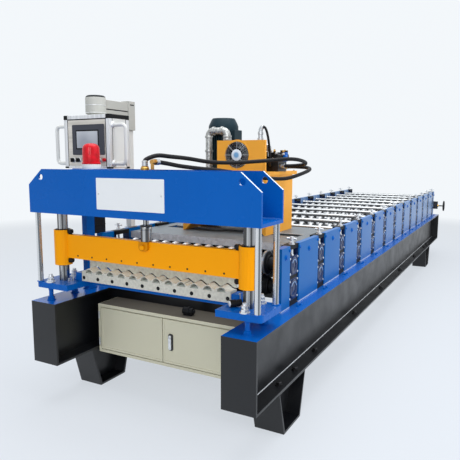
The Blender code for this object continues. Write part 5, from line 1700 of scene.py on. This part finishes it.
def make_guard():
    """Wire rings and spokes in front of the fan, with a plain disc in the middle."""
    wires = bmesh.new()
    face = COOLER_FRONT - 0.0035
    for radius in GUARD_RINGS:
        tube(wires, [(FAN_X + x, face, FAN_Z + z) for x, z in circle(radius, 40, 41)], 0.0008, 6)
    for (x0, z0), (x1, z1) in zip(circle(0.020, 8), circle(0.086, 8)):
        bar(wires, (FAN_X + x0, face + 0.0015, FAN_Z + z0),
            (FAN_X + x1, face + 0.0015, FAN_Z + z1), 0.0013, 6)
    piece("fan_guard", wires, bolt_zinc)
    hub = bmesh.new()
    turned(hub, [(0.0, 0.0), (0.035, 0.0), (0.035, 0.0015), (0.031, 0.0030), (0.0, 0.0034)],
           (FAN_X, face - 0.0005, FAN_Z), FRONT, 40)
    piece("guard_disc", hub, disc_blue)
    rim = bmesh.new()
    turned(rim, [(WELL - 0.008, -0.004), (WELL + 0.005, -0.001), (WELL + 0.004, 0.0008),
                 (WELL - 0.006, 0.0014), (WELL - 0.008, -0.004)],
           (FAN_X, COOLER_FRONT, FAN_Z), FRONT, 64, False)
    piece("well_rim", rim, orange_enamel)


def disc_finish(name):
    """Pale disc with a soft blue middle, by distance from its centre."""
    finish, shader = new_finish(name, srgb(226, 236, 244), 0.35)
    away = distance_from(finish, (FAN_X, COOLER_FRONT, FAN_Z))
    blue = spread(finish, away, 1.0, 0.0, 0.014, 0.024)
    join(finish, between(finish, blue, srgb(228, 236, 244), srgb(112, 166, 212)), shader.inputs["Base Color"])
    return finish


disc_blue = disc_finish("disc_blue")
make_fan()
make_guard()
print("fan blades:", FAN_BLADES)


# %% [markdown]
# A standard electric motor has cast cooling ribs down its case and a pressed cowl over its own
# fan. The ribs are thin wedges set round the case in a loop. The cowl tapers at the top and ends
# in a grille of rings.

# %% Pump motor
MOTOR_X, MOTOR_Y = -0.120, 1.150
MOTOR_BASE, MOTOR_TOP = (corner.z for corner in own_box("pump_motor"))
COWL_BASE = MOTOR_TOP - 0.110
RIBS = 36


def make_motor():
    """Ribbed case, flange, cowl, grille and terminal box."""
    case = bmesh.new()
    tall = COWL_BASE - MOTOR_BASE - 0.044
    solid(case, [(0.080, 0.0), (0.080, tall)],
          (MOTOR_X, MOTOR_Y, MOTOR_BASE + 0.045), UP, 48)
    low, high = MOTOR_BASE + 0.052, COWL_BASE - 0.004
    for number in range(RIBS):
        angle = 2 * math.pi * number / RIBS
        outward = Vector((math.cos(angle), math.sin(angle)))
        across = Vector((-outward.y, outward.x))
        ring = []
        for radius, half in ((0.078, 0.0026), (0.0940, 0.0014)):
            for side in (-1, 1):
                point = Vector((MOTOR_X, MOTOR_Y)) + outward * radius + across * half * side
                ring.append((point.x, point.y))
        sheet_metal(case, [ring[0], ring[1], ring[3], ring[2]], low, high, "XY")
    body = piece("motor_case", case, motor_paint, crease=30)
    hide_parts("pump_motor")
    cover = bmesh.new()
    solid(cover, [(0.113, 0.0), (0.113, 0.016), (0.106, 0.020), (0.106, 0.040), (0.113, 0.044),
                  (0.113, 0.052)],
          (MOTOR_X, MOTOR_Y, MOTOR_BASE), UP, 48)
    profile = [
        (0.0, 0.0), (0.097, 0.0), (0.099, 0.003), (0.099, 0.058), (0.095, 0.070), (0.080, 0.101),
        (0.073, 0.110),
        (0.060, 0.1095), (0.060, 0.106), (0.048, 0.106), (0.048, 0.1095), (0.036, 0.1095), (0.036, 0.106),
        (0.022, 0.106), (0.022, 0.1095), (0.0, 0.1095),
    ]
    turned(cover, profile, (MOTOR_X, MOTOR_Y, COWL_BASE), UP, 48)
    piece("motor_cowl", cover, motor_paint, crease=40)
    terminal = bmesh.new()
    for inner, outer, grow in ((0.073, 0.104, 0.0), (0.104, 0.112, 0.003)):
        block(terminal, (MOTOR_X + inner, MOTOR_Y - 0.050 - grow, COWL_BASE - 0.110 - grow),
              (MOTOR_X + outer, MOTOR_Y + 0.050 + grow, COWL_BASE + 0.030 + grow))
    piece("terminal_box", terminal, motor_paint, 0.0035)
    bolts = bmesh.new()
    for number in range(4):
        angle = math.pi / 4 + math.pi / 2 * number
        place = (MOTOR_X + 0.1015 * math.cos(angle), MOTOR_Y + 0.1015 * math.sin(angle), MOTOR_BASE + 0.016)
        bolt(bolts, place, UP, 0.013, 0.007)
    piece("motor_bolts", bolts, bolt_zinc)


make_motor()
print("motor ribs:", RIBS)


# %% [markdown]
# The return pipe is galvanised tube with screwed elbows: each bend has a thick bead at both ends.
# A filler cap, a sight glass, a drain plug and lid bolts are what any oil tank of this kind has,
# and the photograph shows dark fittings at the lid's right edge.

# %% Pipe, tank and cooler fittings
tank_low, tank_high = own_box("oil_tank")
TANK_TOP = tank_high.z
TANK_FRONT = tank_low.y + 0.006
PIPE_RADIUS = 0.022
PIPE_LEFT, PIPE_RIGHT, PIPE_Y = -0.132, 0.001, 0.982
PIPE_TOP = TANK_TOP + 0.254
COOLER_TOP = own(cooler_high).z


def make_pipe():
    """The return pipe with rounded bends, and a bead at each joint."""
    build = bmesh.new()
    bend = 0.030
    route = [(PIPE_LEFT, PIPE_Y, TANK_TOP + 0.0004), (PIPE_LEFT, PIPE_Y, PIPE_TOP - bend - 0.04)]
    route += [(x, PIPE_Y, z) for x, z in arc((PIPE_LEFT + bend, PIPE_TOP - bend), bend, 180, 90, 8)]
    route += [(x, PIPE_Y, z) for x, z in arc((PIPE_RIGHT - bend, PIPE_TOP - bend), bend, 90, 0, 8)]
    route += [(PIPE_RIGHT, PIPE_Y, COOLER_TOP + 0.0004)]
    tube(build, route, PIPE_RADIUS, 28)
    made = piece("return_pipe_bends", build, zinc_pipe, crease=50)
    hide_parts("return_pipe")
    beads = bmesh.new()
    bead = [(PIPE_RADIUS - 0.001, 0.0), (PIPE_RADIUS + 0.0045, 0.001), (PIPE_RADIUS + 0.0055, 0.008),
            (PIPE_RADIUS + 0.0045, 0.015), (PIPE_RADIUS - 0.001, 0.016)]
    for x, z, direction in (
        (PIPE_LEFT, PIPE_TOP - bend - 0.014, UP), (PIPE_RIGHT, PIPE_TOP - bend - 0.014, UP),
        (PIPE_LEFT + bend - 0.002, PIPE_TOP, RIGHT), (PIPE_RIGHT - bend - 0.014, PIPE_TOP, RIGHT),
        (PIPE_LEFT, TANK_TOP + 0.010, UP), (PIPE_RIGHT, COOLER_TOP + 0.001, UP),
        (PIPE_LEFT, TANK_TOP + 0.120, UP),
    ):
        turned(beads, bead, (x, PIPE_Y, z), direction, 28)
    piece("pipe_beads", beads, zinc_pipe)


COOLER_ROUTE = [
    (0.000, 0.000, 0.016), (0.000, 0.000, 0.046), (0.001, 0.000, 0.062), (0.007, 0.002, 0.075),
    (0.020, 0.005, 0.079), (0.033, 0.010, 0.060), (0.043, 0.018, 0.010), (0.047, 0.030, -0.060),
    (0.044, 0.046, -0.120), (0.030, 0.078, -0.150), (0.010, 0.128, -0.152),
]


def make_cooler_port():
    """The fitting on the cooler's top, and the short hose from it to the valves."""
    gold = bmesh.new()
    x, y = 0.238, COOLER_FRONT + 0.045
    base = COOLER_TOP
    solid(gold, [(0.018, 0.0), (0.018, 0.014), (0.0135, 0.016), (0.0135, 0.034), (0.0165, 0.035),
                 (0.0165, 0.048), (0.0135, 0.050), (0.0135, 0.056)], (x, y, base - 0.001), UP, 20)
    route = [(x + across, y + along, base + up) for across, along, up in COOLER_ROUTE]
    line = curve_points(route, 5)
    tube(gold, line[8:20], 0.0125, 14)
    piece("cooler_port", gold, bolt_zinc)
    build = bmesh.new()
    tube(build, line, 0.0075, 12)
    hose = piece("cooler_hose", build, hose_rubber)


def make_tank_fittings():
    """Lid bolts, filler cap, sight glass and drain plug."""
    bolts = bmesh.new()
    for x in (-0.29, -0.18, 0.0, 0.18, 0.29):
        for y in (TANK_FRONT + 0.012, 1.395):
            if not (y < 1.0 and -0.06 < x < 0.30) and not (abs(x - PIPE_LEFT) < 0.05 and y < 1.0):
                bolt(bolts, (x, y, TANK_TOP), UP, 0.012, 0.006)
    piece("lid_bolts", bolts, bolt_zinc)
    cap = bmesh.new()
    solid(cap, [(0.040, 0.0), (0.040, 0.006), (0.034, 0.008), (0.034, 0.030), (0.038, 0.032), (0.038, 0.050),
                (0.034, 0.054)], (0.070, 1.330, TANK_TOP), UP, 32)
    piece("filler_cap", cap, black_plastic_and_hole_shade)
    gauge = bmesh.new()
    sheet_metal(gauge, rounded(-0.272, 1.060, -0.240, 1.200, 0.012), TANK_FRONT - 0.010, TANK_FRONT + 0.001)
    piece("sight_glass", gauge, screen_grey, 0.002)
    plug = bmesh.new()
    solid(plug, [(0.018, 0.0), (0.018, 0.006), (0.014, 0.008)],
          (0.20, TANK_FRONT, 0.990), FRONT, 24)
    turned(plug, [(0.0, 0.0), (0.010, 0.0), (0.010, 0.010), (0.0, 0.011)],
           (0.20, TANK_FRONT - 0.007, 0.990), FRONT, 6)
    piece("drain_plug", plug, brass)


make_pipe()
make_cooler_port()
make_tank_fittings()
print("tank top:", round(TANK_TOP, 3))


# %% [markdown]
# The valve stack is where hydraulics look busy: black solenoid coils with ribbed ends and square
# plugs, small brass valves, a blue adjuster, bright screws and a plain dial. They sit on the CAD
# block, which stays as the manifold.

# %% Valve stack
def make_valves():
    """Coils, plugs, brass valve, blue adjuster and dial on the manifold."""
    coils = bmesh.new()
    gold = bmesh.new()
    blues = bmesh.new()
    dial = bmesh.new()
    plugs = bmesh.new()
    top = TANK_TOP + 0.063
    for y in (1.1284, 1.2067):
        for x0, x1 in ((0.155, 0.200), (0.296, 0.324)):
            length = x1 - x0
            solid(coils, [(0.018, 0.0), (0.020, 0.003), (0.020, length - 0.006), (0.017, length - 0.003),
                          (0.010, length)],
                  (x0, y, top + 0.0275), RIGHT, 20)
            block(coils, (x0 + 0.010, y - 0.013, top + 0.044), (x1 - 0.008, y + 0.013, top + 0.070))
        for number in range(5):
            x = 0.222 + 0.013 * number
            block(coils, (x, y - 0.028, top + 0.006), (x + 0.005, y + 0.028, top + 0.058))
    for x, y, tall in ((0.262, 1.128, 0.020), (0.318, 1.128, 0.014), (0.300, 1.205, 0.018)):
        turned(gold, [(0.0, 0.0), (0.009, 0.0), (0.009, tall * 0.6), (0.006, tall * 0.7), (0.006, tall),
                      (0.0, tall + 0.001)],
               (x, y, top + 0.056), UP, 6)
    for x, z in ((0.206, 0.040), (0.245, 0.066), (0.283, 0.050), (0.330, 0.046), (0.262, 0.018),
                 (0.312, 0.014)):
        bar(plugs, (x, 1.098, top + z), (x, 1.120, top + z), 0.0065, 10)
    block(blues, (0.302, 1.146, top + 0.000), (0.330, 1.186, top + 0.058))
    bar(blues, (0.331, 1.120, top + 0.030), (0.331, 1.150, top + 0.030), 0.011, 16)
    solid(dial, [(0.022, 0.0), (0.024, 0.003), (0.024, 0.016), (0.021, 0.020), (0.019, 0.018)],
          (0.232, 1.092, top + 0.082), (0.2, -1, 0), 28)
    bar(dial, (0.232, 1.096, top + 0.030), (0.232, 1.096, top + 0.064), 0.006, 12)
    piece("solenoid_coils", coils, black_plastic_and_hole_shade, 0.0012)
    piece("relief_valves", gold, brass, 0.0006)
    piece("valve_plugs", plugs, white_zinc, 0.0008)
    piece("blue_adjuster", blues, blue_enamel, 0.0010)
    piece("pressure_dial", dial, bolt_zinc)


make_valves()
print("valves placed on the manifold")


# %% [markdown]
# The handwheel that sets the entry guide is a cast rim with three spokes. The plain CAD wheel is
# replaced by a rim with a round section, three round spokes, a hub and the screw.

# %% Entry guide and handwheel
wheel_low, wheel_high = box_of("guide_handwheel")
WHEEL_CENTRE = (0.750, own((wheel_low + wheel_high) / 2).y, (wheel_low.z + wheel_high.z) / 2)


def make_wheel():
    """Round rim, three spokes, hub and screw."""
    x, y, z = WHEEL_CENTRE
    build = bmesh.new()
    section = [(0.066 + 0.0068 * math.cos(2 * math.pi * step / 12),
                0.0075 * math.sin(2 * math.pi * step / 12))
               for step in range(12)]
    sides = 48
    rings = []
    for step in range(sides):
        angle = 2 * math.pi * step / sides
        rings.append([build.verts.new(at(x + along, y + radius * math.cos(angle),
                                         z + radius * math.sin(angle)))
                      for radius, along in section])
    for index, ring in enumerate(rings):
        after = rings[(index + 1) % sides]
        for step in range(len(ring)):
            other = (step + 1) % len(ring)
            build.faces.new((ring[step], ring[other], after[other], after[step]))
    for number in range(3):
        angle = 2 * math.pi * number / 3 + 0.5
        tip = (x, y + 0.062 * math.cos(angle), z + 0.062 * math.sin(angle))
        bar(build, (x, y, z), tip, 0.0060, 12)
    solid(build, [(0.016, 0.0), (0.018, 0.003), (0.018, 0.016), (0.014, 0.020)],
          (x - 0.012, y, z), RIGHT, 24)
    start = own(wheel_low).x
    bar(build, (start, y, z), (x, y, z), 0.0078, 16)
    made = piece("handwheel_rim", build, black_plastic_and_hole_shade, body="handwheel", crease=50)
    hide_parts("guide_handwheel")


def make_guide_fittings():
    """Rollers on the guide posts, bolts along the guide, and the bracket's nut."""
    build = bmesh.new()
    low, high = own_box("entry_guide")
    for side in (-1, 1):
        solid(build, [(0.019, 0.0), (0.020, 0.002), (0.020, 0.044), (0.019, 0.046)],
              (side * 0.455, high.y - 0.020, low.z + 0.0385), UP, 24)
        for across in (0.20, 0.36, 0.54):
            bolt(build, (side * across, low.y + 0.020, low.z + 0.038), UP, 0.014, 0.007)
    piece("guide_rollers", build, bolt_zinc)
    nut = bmesh.new()
    bracket = own(box_of("guide_bracket")[1])
    turned(nut, [(0.0102, 0.0), (0.019, 0.0), (0.019, 0.010), (0.0102, 0.012)],
           (bracket.x - 0.001, WHEEL_CENTRE[1], WHEEL_CENTRE[2]), RIGHT, 6)
    piece("bracket_nut", nut, brass)


make_wheel()
make_guide_fittings()
print("handwheel at", tuple(round(v, 3) for v in WHEEL_CENTRE))


# %% [markdown]
# The floor is a plain pale plane and the backdrop nearly white, as in a catalogue picture. The
# floor keeps the shadow, so the machine stands on something. Light Path lets the camera and mirrors
# see the pale backdrop without putting more light on the paint.

# %% Floor, world and lamps
BACKDROP = (0.90, 0.935, 0.965, 1.0)


def make_floor():
    """A pale plane."""
    mesh = bpy.data.meshes.new("floor")
    size = 60.0
    mesh.from_pydata([(-size, -size, 0), (size, -size, 0), (size, size, 0), (-size, size, 0)], [],
                     [(0, 1, 2, 3)])
    floor = bpy.data.objects.new("floor", mesh)
    finish, shader = new_finish("floor_pale", (0.66, 0.70, 0.76, 1.0), 0.9)
    tree = finish.node_tree
    fade = spread(finish, distance_from(finish, (0.0, 2.5, 0.0)), 0.0, 1.0, 3.5, 9.0)
    glow = tree.nodes.new("ShaderNodeEmission")
    join(finish, between(finish, fade, (0.79, 0.835, 0.89, 1.0), BACKDROP), glow.inputs["Color"])
    glow.inputs["Strength"].default_value = 1.0
    path = tree.nodes.new("ShaderNodeLightPath")
    mix = tree.nodes.new("ShaderNodeMixShader")
    seen = sums(finish, "MAXIMUM", path.outputs["Is Camera Ray"], path.outputs["Is Glossy Ray"])
    share = sums(finish, "MAXIMUM", fade, 0.68)
    join(finish, sums(finish, "MULTIPLY", seen, share), mix.inputs["Fac"])
    join(finish, shader.outputs["BSDF"], mix.inputs[1])
    join(finish, glow.outputs["Emission"], mix.inputs[2])
    join(finish, mix.outputs["Shader"], tree.nodes["Material Output"].inputs["Surface"])
    floor.data.materials.append(finish)
    bpy.context.scene.collection.objects.link(floor)


def make_world():
    """The pale backdrop for the camera, mirrors and glass, and a plain soft level for all else."""
    world = bpy.data.worlds.new("studio")
    bpy.context.scene.world = world
    world.use_nodes = True
    tree = world.node_tree
    tree.nodes.clear()
    path = tree.nodes.new("ShaderNodeLightPath")
    lit = tree.nodes.new("ShaderNodeBackground")
    lit.inputs["Color"].default_value = (0.95, 0.97, 1.0, 1.0)
    lit.inputs["Strength"].default_value = 0.50
    white = tree.nodes.new("ShaderNodeBackground")
    white.inputs["Color"].default_value = BACKDROP
    white.inputs["Strength"].default_value = 1.0
    mix = tree.nodes.new("ShaderNodeMixShader")
    output = tree.nodes.new("ShaderNodeOutputWorld")
    seen = sums(world, "MAXIMUM", path.outputs["Is Camera Ray"], path.outputs["Is Glossy Ray"])
    seen = sums(world, "MAXIMUM", seen, path.outputs["Is Transmission Ray"])
    join(world, seen, mix.inputs["Fac"])
    join(world, lit.outputs["Background"], mix.inputs[1])
    join(world, white.outputs["Background"], mix.inputs[2])
    join(world, mix.outputs["Shader"], output.inputs["Surface"])


def make_lamp(name, place, target, size, power, mirrored=True):
    """A soft square lamp that looks at a target, seen in reflections or not."""
    data = bpy.data.lights.new(name, "AREA")
    data.energy = power
    data.size = size
    lamp = bpy.data.objects.new(name, data)
    lamp.location = at(*place)
    aim = at(*target) - at(*place)
    lamp.rotation_euler = aim.to_track_quat("-Z", "Y").to_euler()
    lamp.visible_glossy = mirrored
    bpy.context.scene.collection.objects.link(lamp)


make_floor()
make_world()
make_lamp("lamp_over", (0.5, 1.5, 6.5), (0.0, 2.2, 0.6), 6.0, 350.0)
make_lamp("lamp_front", (2.5, -5.5, 4.0), (0.0, 0.4, 0.9), 3.0, 160.0)
make_lamp("lamp_right", (8.0, 0.5, 5.0), (0.4, 2.0, 0.6), 5.0, 250.0, False)
bpy.context.scene.view_settings.view_transform = "Standard"
print("stage set")
